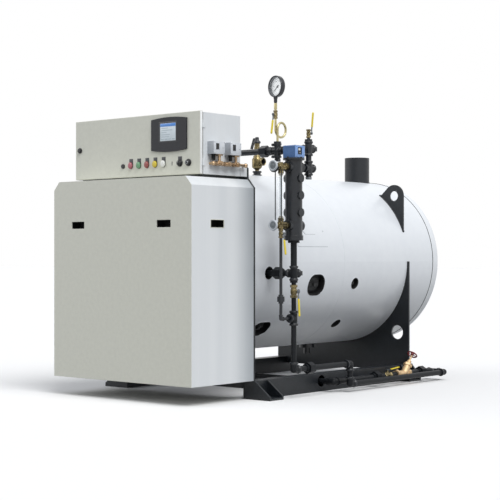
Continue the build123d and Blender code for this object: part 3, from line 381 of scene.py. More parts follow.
def saddle_ring(centre_x, centre_y, radius, stand_off=0.001, steps=72):
    """Give the line where an upright pipe of a radius in metres meets the shell's top."""
    ring = []
    for k in range(steps):
        x = centre_x + radius * cos(2 * pi * k / steps)
        y = centre_y + radius * sin(2 * pi * k / steps)
        ring.append(Vector((x, y, shell_z + sqrt(shell_radius ** 2 - x ** 2) + stand_off)))
    return ring


stub_y = (stub_low.y + stub_high.y) / 2
bead(collars, saddle_ring(0, stub_y, stub_high.x + 0.002), 4, closed=True, ripple=0.1)
piece("flue_weld", collars, black_enamel, "boiler", "black_paint")

# Burner enclosure: folded steel sheets, powder coated a warm light grey. The coat's fine orange
# peel only shows as softness, so it is drawn at 3 mm.
powder_coat = finish("light_grey_powder_coat", "#DADBD0", "#D3D4C9", 3, 0.46, 0.05, 0.02, 2.2, "#E9EAE3")
# The same coat on the side sheets: cooler, painted paler than the front for the light that falls on
# them, with broad faint streaks that run upward
side_coat_painted_light, side_coat_painted_light_and_shade = (
    finish(name, "#E7EAEC", "#DCE0E3", 80, 0.42, 0.05, 0.02, 2.2, "#F1F3F4", stretch=(1, 1, 40))
    for name in ("cool_grey_powder_coat_painted_light", "grey_powder_coat_painted_light_and_shade"))
dress(powder_coat, "hood_front", "hood_top", "hood_floor")


def toned_along(surface, axis, first, last, tone):
    """Draw a finish toward a tone between two places in metres along a part axis (0, 1 or 2)."""
    tree = surface.node_tree
    skin = tree.nodes["Principled BSDF"]
    before = skin.inputs["Base Color"].links[0].from_socket
    place = add(tree, "ShaderNodeTexCoord").outputs["Object"]
    split = add(tree, "ShaderNodeSeparateXYZ", {0: place}).outputs[axis]
    share = add(tree, "ShaderNodeMapRange", {"Value": split, "From Min": first, "From Max": last},
                interpolation_type="SMOOTHSTEP").outputs[0]
    mixed = add(tree, "ShaderNodeMix", {0: share, 6: before, 7: linear(tone)}, data_type="RGBA").outputs[2]
    tree.links.new(mixed, skin.inputs["Base Color"])


side_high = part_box("hood_right")[1]
# Painted shade: the side sheets darken toward their rear edge
toned_along(side_coat_painted_light_and_shade, 1, side_high.y - 0.19, side_high.y + 0.02, "#ACB2B7")
dress(side_coat_painted_light_and_shade, "hood_right", "hood_left")

front_low, front_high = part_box("hood_front")
slot_length, slot_height = 107, 41
slot_z = front_high.z - 0.255
slot_x = 0.344
slot_back = front_low.y + 0.209


def on(place, points, height=0.0):
    """Lay (x, y) points in mm on a seat, at a height in mm."""
    return [place @ Vector((x / 1000, y / 1000, height / 1000)) for x, y in points]


RIGHT, FRONT = Vector((1, 0, 0)), Vector((0, -1, 0))
# The front rims lie 1.6 mm deep, level with the sheet
slot_seats = [seat((x, front_low.y + 0.0016, slot_z), FRONT) for x in (slot_x, -slot_x)]
slot_seats += [seat((side_high.x, slot_back, slot_z), RIGHT), seat((-side_high.x, slot_back, slot_z), -RIGHT)]
slot_rims, slot_cups = bmesh.new(), bmesh.new()
for place in slot_seats:
    lip = [(slot_length - 1, slot_height - 1, -3.2), (slot_length - 1, slot_height - 1, 0.9),
           (slot_length + 2, slot_height + 2, 1.6), (slot_length + 6, slot_height + 6, 0.9),
           (slot_length + 7, slot_height + 7, 0.1)]
    skin_between(slot_rims, [on(place, loop(w, h, 3), z) for w, h, z in lip])
    cup = [(slot_length + 8, slot_height + 8, -3.4), (slot_length + 8, slot_height + 8, -30),
           (slot_length - 4, slot_height - 4, -58)]
    skin_between(slot_cups, [on(place, loop(w, h, 4), z) for w, h, z in cup], cap_last=True)
piece("hand_slot_rims", slot_rims, powder_coat, "boiler", "enclosure_paint")
piece("hand_slot_cups", slot_cups, rubber, "boiler", "black_paint")

# Control cabinet: a folded box with a pan door on a black base, in the same powder coat.
# A black gasket fills the gap that the door closes on.
dress(powder_coat, "panel_door")
# The cabinet's sides, brackets and hinges take the side sheets' painted light
dress(side_coat_painted_light, "panel_cabinet", "panel_brackets", "panel_hinges")
door_low, door_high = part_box("panel_door")
box_low, box_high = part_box("panel_cabinet")
box_z = (box_low.z + box_high.z) / 2
box_width, box_height = (box_high.x - box_low.x) * 1000, (box_high.z - box_low.z) * 1000


def block(form, place, size, middle=(0, 0, 0), ease=0.5):
    """Add a block of a size in mm with eased edges, standing at the middle of its foot."""
    x, y, z = size
    at = Matrix.Translation(Vector((middle[0], middle[1], middle[2] + z / 2)) / 1000)
    made = bmesh.ops.create_cube(form, size=0.001, matrix=place @ at @ Matrix.Diagonal((x, y, z, 1)))
    edges = list({edge for vert in made["verts"] for edge in vert.link_edges})
    bmesh.ops.bevel(form, geom=edges, offset=ease / 1000, segments=2, affect="EDGES", profile=0.5)


gasket = bmesh.new()
gap = seat((0, box_low.y, box_z), FRONT)
gap_depth = (box_low.y - door_high.y) * 1000
skin_between(gasket, [on(gap, loop(box_width - inset, box_height - inset, 4), z) for inset, z in (
    (26, 0.1), (26, gap_depth - 0.4), (16, gap_depth - 0.2), (8, gap_depth - 0.4), (8, 0.1))])
piece("door_gasket", gasket, rubber, "boiler", "black_paint")

hem = bmesh.new()
hem_seat = seat((door_high.x, (door_low.y + door_high.y) / 2, (door_low.z + door_high.z) / 2), RIGHT)
block(hem, hem_seat, ((door_high.y - door_low.y) * 1000 - 3, (door_high.z - door_low.z) * 1000 - 3, 0.4),
      ease=0.15)
# Painted highlight: the door's folded hem turns to the light, so it is drawn a bright, nearly white edge
hem_highlight = finish("hem_painted_highlight", "#FAFBFB", "#F2F4F4", 30, 0.4, 0.05, 0.02)
piece("door_hem", hem, hem_highlight, "panel_door", "enclosure_paint")
bracket_seam = bmesh.new()
for side in (1, -1):
    foot = Vector((side * (box_high.x - 0.0002), box_high.y, box_low.z + 0.0005))
    bead(bracket_seam, [foot + UP * 0.0025 * k for k in range(21)], 1.0)
piece("bracket_seams", bracket_seam, rubber, "boiler", "black_paint")

latch_low, latch_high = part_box("door_latch")


def turn(form, place, profile, steps=48):
    """Add a turned form: rings of (radius, height) in mm round a seat's Z axis."""
    rings = []
    for radius, height in profile:
        spokes = [2 * pi * step / steps for step in range(steps)] if radius else [0]
        rings.append([form.verts.new(
            place @ Vector((radius * cos(a) / 1000, radius * sin(a) / 1000, height / 1000))) for a in spokes])
    for low, high in zip(rings, rings[1:]):
        for step in range(steps):
            corners = (low[step % len(low)], low[(step + 1) % len(low)],
                       high[(step + 1) % len(high)], high[step % len(high)])
            form.faces.new(list(dict.fromkeys(corners)))


def middle_of(low, high):
    """Give the middle between two corners."""
    return (low + high) / 2


# Black ABS, moulded: an even near-black with a soft sheen
black_plastic = finish("black_moulded_abs", "#1B1C1E", "#141517", 2, 0.34, 0.05, 0.02)
knob = bmesh.new()
latch_centre = middle_of(latch_low, latch_high)
knob_shift = 0.004
knob_seat = seat((latch_centre.x - knob_shift, latch_high.y, latch_centre.z), FRONT)
turn(knob, knob_seat, ((16.5, 0), (16.5, 3.4), (15, 4.6), (13, 5), (12.4, 10.4), (11, 11.8), (0, 11.8)))
block(knob, knob_seat, (5, 21, 2.4), (0, 0, 9.6), 0.8)
piece("latch_knob", knob, black_plastic, "panel_door", "switch_plastic", "door_latch")

# Touch screen: a moulded bezel round a glass panel that shows a plain process page.
# The page is drawn as lit bars and tiles; the bezel is charcoal plastic with a dull sheen.
bezel_plastic = finish("charcoal_moulded_bezel", "#2A2B31", "#242529", 2, 0.44, 0.05, 0.03, 1.5, "#3C3D43",
                       Specular_IOR_Level=0.3)
dress(bezel_plastic, "touch_screen")
bezel_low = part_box("touch_screen")[0]
glass_width, glass_height = 119, 97
glass_x, glass_z = 0.266, 1.498
glass_seat = seat((glass_x, bezel_low.y, glass_z), FRONT)
surround, page, header, tiles = bmesh.new(), bmesh.new(), bmesh.new(), bmesh.new()
skin_between(surround, [on(glass_seat, loop(glass_width + w, glass_height + w, 3), z) for w, z in (
    (0, -0.5), (0, 0.3), (3, 1.0), (16, 1.0), (19, 0.0))])
block(page, glass_seat, (glass_width + 0.5, glass_height + 0.5, 0.5), ease=0.2)
block(header, glass_seat, (glass_width - 1, 17, 0.3), (0, glass_height / 2 - 9.5, 0.5), 0.1)
for row, width in enumerate((52, 84, 40, 66, 58)):
    block(tiles, glass_seat, (width, 4, 0.3), (width / 2 - 50, 22 - row * 12, 0.5), 0.1)
for column in range(4):
    block(tiles, glass_seat, (22, 7, 0.3), (-42 + column * 28, 9 - glass_height / 2, 0.5), 0.1)
# The surround is the same plastic, smoother and a little glossier
dark_bezel = finish("black_screen_surround", "#2A2B30", "#232429", 2, 0.3, 0.04, 0.02)
piece("screen_surround", surround, dark_bezel, "panel_door", "screen_plastic")
# Lit liquid crystal under glass: even, cool, and glossy on top
lit_page = finish("lit_page", "#CDD6DC", "#BDC8CC", 25, 0.2, 0.03, Emission_Color=linear("#AEB9C6"),
                  Emission_Strength=0.25)
blue_bar = finish("lit_blue_bar", "#5B93DC", "#5089D2", 12, 0.2, 0.03, Emission_Color=linear("#2B5FA8"),
                  Emission_Strength=0.2)
grey_tile = finish("lit_grey_tile", "#AEBBC2", "#A3B1B8", 12, 0.2, 0.03, Emission_Color=linear("#8F9CA8"),
                   Emission_Strength=0.2)
piece("screen_page", page, lit_page, "panel_door", "screen_plastic")
piece("screen_header", header, blue_bar, "panel_door", "screen_plastic")
piece("screen_tiles", tiles, grey_tile, "panel_door", "screen_plastic")

# Door controls: a row of screwed-in operators through the door, each with a collar.
# From the left: a push button, five lamps under dark legend plates, a mark, a selector, a key switch.
row_low, row_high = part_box("pilot_lamps")
row_z = (row_low.z + row_high.z) / 2
control_pitch = 0.0645
first_lamp = row_low.x + 0.01
pair_shift = 0.004


def row_seat(place):
    """Give the seat of one place in the row; the lamps are places 1 to 5."""
    along = first_lamp + (place - 1) * control_pitch - (pair_shift if place > 6 else 0)
    return seat((along, door_low.y, row_z), FRONT)


legends, collar_rings, black_heads, light_bars, key_lock = (bmesh.new() for _ in range(5))
# The lamps have upright oblong lenses
oblong = Matrix.Translation((0, 0.0015, 0)) @ Matrix.Diagonal((1, 1.34, 1, 1))
for place in (1, 2, 3, 4, 5, 7):
    block(legends, row_seat(place), (29, 46, 1.2), (0, 16.5 if place < 6 else 13.5, 0), 0.5)
for place in (1, 2, 3, 4, 5):
    turn(collar_rings, row_seat(place) @ oblong,
         ((15, 1), (15, 3.4), (14.9, 3.8), (14.2, 4.2), (13.9, 3.4)), 32)
turn(black_heads, row_seat(0),
     ((13.4, 0), (13.4, 3), (13, 4.2), (12.5, 4.4), (12.4, 6.6), (11.6, 7.4), (0, 7.6)), 32)
for place in (7, 8):
    turn(black_heads, row_seat(place),
         ((20, 0), (20, 4), (18.6, 5.8), (15.4, 6), (14.6, 14), (13, 15.8), (0, 16)), 32)
block(black_heads, row_seat(7), (8, 27, 3), (0, 0, 16), 1.2)
block(light_bars, row_seat(7), (2.2, 10, 0.5), (0, 7, 18.6), 0.2)
turn(key_lock, row_seat(8), ((9, 15), (9, 17), (8.6, 17.6), (6.8, 17.8), (6.6, 15.8), (6.4, 15.8)), 32)
block(black_heads, row_seat(8), (2, 11, 1), (0, 0, 17.6), 0.2)
block(black_heads, row_seat(6), (4, 22, 1.6), (0, 0, 0), 0.7)
# Engraved laminate is flat dark grey, zinc plate a cool soft gleam, and the filled mark plain white
legend_plate = finish("engraved_laminate", "#3B3D41", "#323438", 3, 0.45, 0.05, 0.02)
zinc = finish("bright_zinc_plate", "#A9ACAE", "#8E9194", 2, 0.3, 0.08, 0.02, Metallic=1.0)
white_mark = finish("white_filled_mark", "#E9EAE8", "#DFE0DE", 2, 0.5)
piece("control_legends", legends, legend_plate, "panel_door", "switch_plastic")
piece("lamp_collars", collar_rings, black_plastic, "panel_door", "lamp_plastic")
piece("key_lock", key_lock, zinc, "panel_door", "switch_plastic")
piece("control_heads", black_heads, black_plastic, "panel_door", "switch_plastic", "door_switches")
piece("selector_marks", light_bars, white_mark, "panel_door", "switch_plastic")
dome_profile = ((13.8, 1), (13.9, 9), (13.6, 12.4), (12, 15.6), (9.2, 17.2), (5, 17.9), (0, 18))
for place, (lens_name, pale, dark) in enumerate((
    ("red_lens", "#A9606A", "#91505A"), ("green_lens", "#6C9C77", "#588863"),
    ("second_red_lens", "#995250", "#834240"), ("yellow_lens", "#CDB83C", "#B8A22C"),
    ("white_lens", "#E4E5E2", "#D3D5D1"),
), start=1):
    dome = bmesh.new()
    turn(dome, row_seat(place) @ oblong, dome_profile, 32)
    # Moulded polycarbonate: deep colour that glows a little and keeps a sharp highlight
    lens_plastic = finish("polycarbonate_" + lens_name, pale, dark, 4, 0.16, 0.03, Specular_IOR_Level=0.6,
                          Emission_Color=linear(pale), Emission_Strength=0.12)
    stands_for = ("pilot_lamps",) if place == 1 else ()
    piece(lens_name, dome, lens_plastic, "panel_door", "lamp_plastic", *stands_for)

# Pressure controls: two grey enamelled switch boxes with a dark scale window in the side.
# Each has a screwed cover and a black conduit gland below. Hammered enamel is a cool grey whose fine
# dimples break up its gleam, and the covers are paler.
control_grey = finish("grey_hammered_enamel", "#B8BDC3", "#A4A9B0", 4, 0.4, 0.07, 0.12, 1.2, "#D3D6DA")
cover_grey = finish("pale_hammered_enamel", "#DEE2E7", "#CCD1D7", 4, 0.4, 0.07, 0.12, 1.2, "#ECEEF0")
switch_low, switch_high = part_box("pressure_controls")
panes, pane_rims, cover_screws, conduits, cases, covers = (bmesh.new() for _ in range(6))
control_backs = (switch_low.y, switch_low.y + 0.138)
control_foot = box_low.z + 0.110
case_width, case_height, case_depth = 88, 70, 44
DOWN = Vector((0, 0, -1))
for near in control_backs:
    window = seat((switch_high.x - 0.0005, near + 0.0285, control_foot + 0.0415), RIGHT)
    block(panes, window, (26.6, 34.6, 0.8), (0, 0, 0.1), 0.2)
    skin_between(pane_rims, [on(window, loop(27 + w, 35 + w, 1), z) for w, z in (
        (-1, 0.4), (-0.6, 1.5), (1.4, 1.6), (3, 0.4))])
    wall = seat((switch_low.x, near + 0.044, control_foot + 0.035), RIGHT)
    block(cases, wall, (case_width, case_height, case_depth), ease=1)
    block(covers, wall, (case_width - 1, case_height - 1, 6), (0, 0, case_depth), 1.5)
    gland = seat((switch_high.x - 0.025, near + 0.022, control_foot), DOWN, BACK)
    turn(conduits, gland,
         ((13, 0), (13, 5), (10, 6), (10, 9), (10.8, 10), (10.8, 30), (10, 31.6), (0, 32)), 32)
    for across, rise in ((0.006, 0.006), (0.082, 0.006), (0.006, 0.064), (0.082, 0.064), (0.072, 0.035)):
        screw = seat((switch_high.x, near + across, control_foot + rise), RIGHT)
        turn(cover_screws, screw, ((2.6, 0), (2.6, 0.8), (1.8, 1.5), (0, 1.7)), 16)
# Smoked acrylic: nearly black, with a sharp shine
smoked = finish("smoked_window", "#0E0F11", "#08090A", 6, 0.12, 0.03)
piece("control_cases", cases, control_grey, "boiler", "control_grey", "pressure_controls")
for name, form, surface in (
    ("control_windows", panes, smoked), ("control_window_rims", pane_rims, cover_grey),
    ("control_covers", covers, cover_grey), ("control_screws", cover_screws, zinc),
    ("control_conduits", conduits, rubber),
):
    piece(name, form, surface, "boiler", "control_grey")

# Manifold: bare copper tube with forged brass tees, which feeds the two pressure controls.
# It is pinkish where it is copper, and tarnished in dark patches.
copper_brass = finish("tarnished_copper_brass", "#DABC97", "#604A36", 6, 0.24, 0.1, 0.14, 1.2, "#F6E6CE",
                      Metallic=0.8)
dress(copper_brass, "control_manifold")

# Pipework: black steel pipe with malleable-iron fittings, lacquered against rust.
# Castings have a sandy skin, drawn at 3 mm so that it shows.
iron = finish("black_malleable_iron", "#1D2127", "#0F1216", 3, 0.3, 0.08, 0.12, 1.4, "#3F444B",
              Specular_IOR_Level=0.48)
dress(iron, "steam_line", "riser", "water_column", "glass_drain_pipe", "bottom_nozzle")
# The lines near the floor are bare of gloss
dull_iron = finish("dull_black_iron", "#191C20", "#0E1013", 3, 0.42, 0.08, 0.12, 1.4, "#33373B",
                   Specular_IOR_Level=0.2)
dress(dull_iron, "column_leg", "drain_line", "blowdown_line", "blowdown_nipple", "blowdown_tail")
# Malleable fittings have a heavy rolled band at each mouth. Each is given by its centre and
# the ways its mouths face.
pivots = {joint["child"]: Vector(joint["pos_m"]) for joint in frame["joints"]}
riser_x, riser_y = pivots["riser_valve_lever"].x, pivots["riser_valve_lever"].y
leg_x, leg_y = pivots["leg_valve_lever"].x, pivots["leg_valve_lever"].y
gauge_x = pivots["gauge_valve_lever"].x
line_y, tail_y, tail_x = front_low.y + 1.2, front_low.y + 2.231, pivots["blowdown_lever"].x
steam_z, level_z, shell_pipe_z, branch_z, drain_z, floor_z = 1.423, 1.311, 0.713, 0.46, 0.17, 0.052
fittings = (
    ((gauge_x, riser_y, steam_z), (-RIGHT, RIGHT, UP, DOWN)),
    ((riser_x, riser_y, steam_z), (UP, DOWN, -RIGHT, BACK)),
    ((riser_x, riser_y, level_z), (UP, DOWN, FRONT, BACK)),
    ((leg_x, leg_y, shell_pipe_z), (UP, DOWN, -RIGHT, BACK)),
    ((leg_x, leg_y, branch_z), (UP, DOWN, FRONT)),
    ((leg_x, leg_y, drain_z), (UP, BACK)),
    ((leg_x, line_y, drain_z), (FRONT, DOWN)),
    ((leg_x, line_y, floor_z), (UP, BACK)),
    ((leg_x, tail_y, floor_z), (FRONT, -RIGHT)),
    ((tail_x, tail_y, floor_z), (FRONT, -RIGHT, RIGHT)),
)
band_profile = ((20, 27), (22.4, 29.6), (24.4, 31.6), (25.2, 34), (25.2, 38.6), (24, 41), (21.4, 42.2),
                (16.8, 42.2))
bands = bmesh.new()
for centre, mouths in fittings:
    for mouth in mouths:
        turn(bands, seat(Vector(centre), mouth, Vector((0.3, 0.5, 0.8))), band_profile, 40)
piece("fitting_bands", bands, iron, "boiler", "black_iron")
# The riser's lower plug is bare cast iron: a dry mid grey
bare_iron = finish("bare_cast_iron", "#A0A4A7", "#7E8387", 3, 0.5, 0.08, 0.1)
plug_head = bmesh.new()
block(plug_head, seat((riser_x, riser_y, 1.2625), DOWN, BACK), (25.6, 25.6, 13.6), ease=1.5)
piece("riser_plug_head", plug_head, bare_iron, "boiler", "black_iron")
nozzle_y, nozzle_radius = middle_of(*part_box("steam_line")).y, 0.031
pipe_welds = bmesh.new()
bead(pipe_welds, saddle_ring(0, nozzle_y, nozzle_radius), 3, closed=True, ripple=0.1)
piece("nozzle_weld", pipe_welds, iron, "boiler", "black_iron")

# Brass: cast and turned, browned by heat, and brighter on its edges from wear and a painted highlight.
# The siphon and the gauge's tube are drawn pipe, paler and smoother; the globe valve is bright new bronze.
aged_brass = finish("aged_brass", "#A09066", "#2C2516", 6, 0.26, 0.1, 0.14, 1.3, "#E2D8AC", Metallic=0.8)
dress(aged_brass, "glass_cocks")
pale_brass = finish("drawn_brass_pipe", "#CFC59A", "#A2966A", 9, 0.24, 0.06, 0.04, Metallic=0.8)
dress(pale_brass, "siphon")
bronze = finish("bright_cast_bronze", "#E3C79E", "#CCAA7F", 4, 0.46, 0.06, 0.12, 1.2, "#F0DEC0",
                Metallic=0.35)
dress(bronze, "globe_valve")


def hexagon(form, place, across, foot, height):
    """Add a hexagon nut with chamfered corners on a seat, between two heights in mm."""
    corner = across / sqrt(3)
    ease = corner * 0.08
    turn(form, place, ((0, foot), (corner - ease, foot), (corner, foot + ease), (corner, height - ease),
                       (corner - ease, height), (0, height)), 6)


# Ball valves: two hexagon ends screwed together over a round chest, and a packed stem.
# Each is named with its lever, the way its pipe runs, the way its stem points, and its pipe in mm.
ball_valves = {
    "gauge_valve": ("gauge_valve_lever", UP, FRONT, 22),
    "riser_valve": ("riser_valve_lever", UP, RIGHT, 22),
    "glass_drain_valve": ("glass_drain_lever", UP, RIGHT, 22),
    "leg_valve": ("leg_valve_lever", UP, RIGHT, 33.4),
    "blowdown_valve": ("blowdown_lever", BACK, UP, 33.4),
}
for valve_name, (lever_name, way, stem, pipe) in ball_valves.items():
    chest, chest_seat = bmesh.new(), seat(pivots[lever_name], way, stem)
    half, end = 1.1 * pipe, 0.65 * pipe
    hexagon(chest, chest_seat, 1.1 * pipe, -half, -end)
    hexagon(chest, chest_seat, 1.1 * pipe, end, half)
    turn(chest, chest_seat, (
        (0.45 * pipe, -end - 0.5), (0.47 * pipe, -0.56 * pipe), (0.53 * pipe, -0.45 * pipe),
        (0.56 * pipe, -0.22 * pipe), (0.57 * pipe, 0), (0.56 * pipe, 0.2 * pipe),
        (0.56 * pipe, 0.34 * pipe), (0.48 * pipe, 0.36 * pipe), (0.47 * pipe, end + 0.5)), 36)
    stem_seat = seat(pivots[lever_name], stem, way)
    turn(chest, stem_seat,
         ((0.3 * pipe, 0.3 * pipe), (0.3 * pipe, 0.66 * pipe), (0.2 * pipe, 0.68 * pipe)), 24)
    hexagon(chest, stem_seat, 0.46 * pipe, 0.66 * pipe, 0.86 * pipe)
    turn(chest, stem_seat, ((0.15 * pipe, 0.8 * pipe), (0.15 * pipe, 0.94 * pipe), (0, 0.94 * pipe)), 16)
    piece(valve_name + "_body", chest, aged_brass, "boiler", "valve_brass", valve_name)
# The drawn tube between the gauge's valve and its socket
neck = bmesh.new()
neck_seat = seat(pivots["gauge_valve_lever"], UP, BACK)
turn(neck, neck_seat,
     ((6.6, 23.5), (6.6, 29.4), (9.2, 30.4), (9.4, 32), (9.4, 64.6), (9, 65.8), (0, 65.8)), 32)
piece("gauge_neck", neck, pale_brass, "boiler", "valve_brass")

# Valve levers: a flat bar of plated steel that leans out, dipped in yellow vinyl for the hand,
# held on its stem by a hexagon nut. Each has the way it points, its length and its lean in mm.
# Vinyl gives a clean soft yellow, and handled zinc plate a dull grey metal
yellow_vinyl = finish("yellow_dipped_vinyl", "#EFDA3A", "#DFC722", 8, 0.36, 0.05, 0.06)
dull_zinc = finish("dull_zinc_plate", "#74787B", "#55585B", 3, 0.36, 0.1, 0.03, Metallic=0.9)
lever_sizes = {"gauge_valve_lever": (DOWN, 115, 16), "riser_valve_lever": (UP, 120, 10),
               "glass_drain_lever": (DOWN, 118, 12), "leg_valve_lever": (DOWN, 142, 8),
               "blowdown_lever": (BACK, 130, 10)}


def bar(form, place, path, sections):
    """Add a bar along (y, z) points in mm: each section is a loop of (across, through) in mm."""
    rows = []
    for at, (y, z) in enumerate(path):
        ahead, behind = path[min(at + 1, len(path) - 1)], path[max(at - 1, 0)]
        lean = atan2(ahead[1] - behind[1], ahead[0] - behind[0])
        rows.append([place @ (Vector((across, y - through * sin(lean), z + through * cos(lean))) / 1000)
                     for across, through in sections[at]])
    skin_between(form, rows, True, True)


for lever_name, way, stem, pipe in ball_valves.values():
    reach, length, splay = lever_sizes[lever_name]
    place = seat(pivots[lever_name] + stem * (0.95 * pipe + 0.3) / 1000, stem, reach)
    bend = 0.16 * length
    slope = splay / (length - bend)
    steel, grip = bmesh.new(), bmesh.new()
    turn(steel, place,
         ((0, 0), (0.38 * pipe, 0), (0.4 * pipe, 0.4), (0.4 * pipe, 2.6), (0.38 * pipe, 3), (0, 3)), 32)
    hexagon(steel, place, 0.46 * pipe, 3, 6.4)
    turn(steel, place, ((0.14 * pipe, 6.4), (0.14 * pipe, 6.8), (0.1 * pipe, 7), (0, 7)), 16)
    path = [(0.04 * length * k, 1.5 + max(0.04 * length * k - bend, 0) * slope) for k in range(25)]
    bar(steel, place, path, [loop(9, 2.8, 0.7, 2) for _ in path])
    grip_path, grip_sections = [], []
    for k in range(29):
        run = k / 28
        y = length * (0.28 + 0.72 * run)
        grip_path.append((y, 1.5 + (y - bend) * slope))
        end = min(run, 1 - run) * 0.72 * length
        swell = sqrt(max(1 - (1 - min(end / 5, 1)) ** 2, 0.02))
        waist = 1 - 0.1 * sin(pi * run)
        grip_sections.append(loop(14 * swell * waist, 7.4 * swell, 3.6 * swell * waist, 4))
    bar(grip, place, grip_path, grip_sections)
    piece(lever_name + "_bar", steel, dull_zinc, lever_name, "lever_grip", lever_name)
    piece(lever_name + "_grip", grip, yellow_vinyl, lever_name, "lever_grip")

# Pressure gauge: a black enamelled case with a rolled ring and a deep white dial behind glass,
# with figures from 0 to 300. Enamel is a smooth deep black, and the ring's inside a lit charcoal.
case_enamel = finish("black_case_enamel", "#2D3036", "#1E2025", 5, 0.3, 0.05, 0.02)
ring_enamel = finish("charcoal_ring_enamel", "#43464E", "#373A41", 5, 0.34, 0.06, 0.03)
gauge_turn = radians(12)
gauge_out = Vector((-sin(gauge_turn), -cos(gauge_turn), 0))
gauge_rise = 0.164
# The case stands 8 mm ahead of its stem, and the dial lies 24 mm below its ring
ring_lead, dial_sink = 0.008, 0.016
case_centre = pivots["gauge_valve_lever"] + UP * gauge_rise
ring_seat = seat(case_centre + gauge_out * ring_lead, gauge_out)
dial_seat = seat(case_centre - gauge_out * dial_sink, gauge_out)
ring, well, socket, dial, marks, needle, lens_glass = (bmesh.new() for _ in range(7))
turn(ring, ring_seat, ((56.4, -1.6), (57.2, -0.5), (59, 0), (61, -0.2), (62.6, -1.2), (63.4, -3), (63.4, -9),
                       (62.2, -9.8), (62, -27), (60.6, -30.4), (57, -31.8), (20, -32), (0, -32)), 72)
turn(well, ring_seat, ((0, -23.9), (55.6, -23.9), (55.6, -3), (56.5, -1.2), (59, 0.1), (61, -0.1)), 72)
turn(socket, neck_seat,
     ((0, 66), (7, 66), (9.6, 71), (10.4, 76), (10.4, 88), (12.6, 98), (14, 104), (0, 104)), 32)
turn(dial, dial_seat, ((55.4, 0.1), (55.4, 0.6), (0, 0.6)), 72)
turn(lens_glass, ring_seat, ((0, -4.4), (55.4, -4.4), (55.4, -3), (0, -2.6)), 72)
scale_start, scale_end = radians(225), radians(-45)
scale_span = scale_end - scale_start
tick_circle, arc_circle, figure_circle = 0.0475, 0.0515, 0.034
for tick in range(61):
    angle = scale_start + scale_span * tick / 60
    major = tick % 6 == 0
    tick_seat = dial_seat @ Matrix.Rotation(angle, 4, "Z") @ Matrix.Translation((tick_circle, 0, 0.0006))
    block(marks, tick_seat, (7 if major else 3.4, 1.1 if major else 0.5, 0.2),
          (-1.8 if major else 0, 0, 0), 0.05)
arc = [dial_seat @ Vector((arc_circle * cos(a), arc_circle * sin(a), 0.0007))
       for a in (scale_start + scale_span * k / 90 for k in range(91))]
bead(marks, arc, 0.3, 4)
for figure in range(0, 301, 60):
    angle = scale_start + scale_span * figure / 300
    text = bpy.data.curves.new("figure", "FONT")
    text.body = str(figure)
    text.size = 0.010
    text.align_x, text.align_y = "CENTER", "CENTER"
    text.extrude = 0.0001
    written = bpy.data.objects.new("figure", text)
    mesh = bpy.data.meshes.new_from_object(written)
    mesh.transform(dial_seat @ Matrix.Translation(
        (figure_circle * cos(angle), figure_circle * sin(angle), 0.0008)))
    marks.from_mesh(mesh)
    bpy.data.objects.remove(written)
needle_angle = radians(217)
needle_seat = dial_seat @ Matrix.Rotation(needle_angle, 4, "Z")
skin_between(needle, [[needle_seat @ (Vector((x, y, z)) / 1000) for x, y in (
    (-14, -2.6), (0, -3), (46, -1), (48, 0), (46, 1), (0, 3), (-14, 2.6))] for z in (2, 2.8)], True, True)
turn(needle, dial_seat, ((6.6, 1), (6.6, 3.2), (5, 4), (0, 4)), 24)
# The dial is matt white paint, with a painted glow that keeps it bright in the shade of its deep
# case, and black ink under clear glass
dial_white_glow = finish("white_dial_paint_with_painted_glow", "#FCFCFA", "#F6F6F3", 20, 0.5, 0.04, Emission_Color=linear("#F2F6FA"),
                    Emission_Strength=0.42)
dial_black = finish("black_dial_ink", "#1A1A1A", "#121212", 3, 0.5, 0.04)
gauge_glass = finish("clear_window_glass", "#F4F8F8", "#EEF4F4", 30, 0.05, 0.02, Alpha=0.08)
piece("gauge_case", ring, case_enamel, "boiler", "gauge_black", "pressure_gauge")
for name, form, surface in (
    ("gauge_socket", socket, case_enamel), ("gauge_well", well, ring_enamel),
    ("gauge_dial", dial, dial_white_glow), ("gauge_marks", marks, dial_black),
    ("gauge_needle", needle, dial_black), ("gauge_lens", lens_glass, gauge_glass),
):
    piece(name, form, surface, "boiler", "gauge_black")

# Level control head: a cast box on the column's flange, held by four bolts, with a framed window
# and a screwed lid. Its blue enamel shines and is paler at the edges, from wear and a painted highlight.
head_blue = finish("blue_enamel", "#587DB2", "#4E71A6", 5, 0.28, 0.06, 0.05, 2.0, "#9DB6D8")
dress(head_blue, "level_control_head")
head_low, head_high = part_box("level_control_head")
head_middle = middle_of(head_low, head_high)
window_rise, lit_face_rise = 0.038, 0.036
head_window = seat((head_high.x - 0.003, head_middle.y, head_low.z + window_rise), RIGHT)
head_frame, head_pane, head_lid, lid_screws, head_scale, head_lit_face = (bmesh.new() for _ in range(6))
block(head_pane, head_window, (40.6, 42.6, 0.8), (0, 0, 0.1), 0.2)
lit_face_seat = seat((head_high.x, head_middle.y, head_low.z + lit_face_rise), RIGHT)
for y, z, across, tall in ((-32, 0, 22, 62), (32, 0, 22, 62), (0, 27.5, 42, 7), (0, -27.5, 42, 7)):
    block(head_lit_face, lit_face_seat, (across, tall, 0.6), (y, z, 0), 0.2)
skin_between(head_frame, [on(head_window, loop(41 + w, 43 + w, 3), z) for w, z in (
    (-3, 1), (-2, 3.6), (0, 4.6), (5, 4.6), (7, 3))])
lid_seat = seat((head_middle.x, head_middle.y, head_low.z), UP, BACK)
skin_between(head_lid, [on(lid_seat, loop(88 + w, 83 + w, 3), z) for w, z in (
    (-0.5, 60), (1.4, 60.4), (1.4, 63), (-0.5, 63.4))])
for sx, sy in ((1, 1), (-1, 1), (-1, -1), (1, -1)):
    screw_seat = lid_seat @ Matrix.Translation((sx * 0.036, sy * 0.033, 0.070))
    turn(lid_screws, screw_seat, ((3, 0), (3, 1), (2, 1.8), (0, 2)), 16)
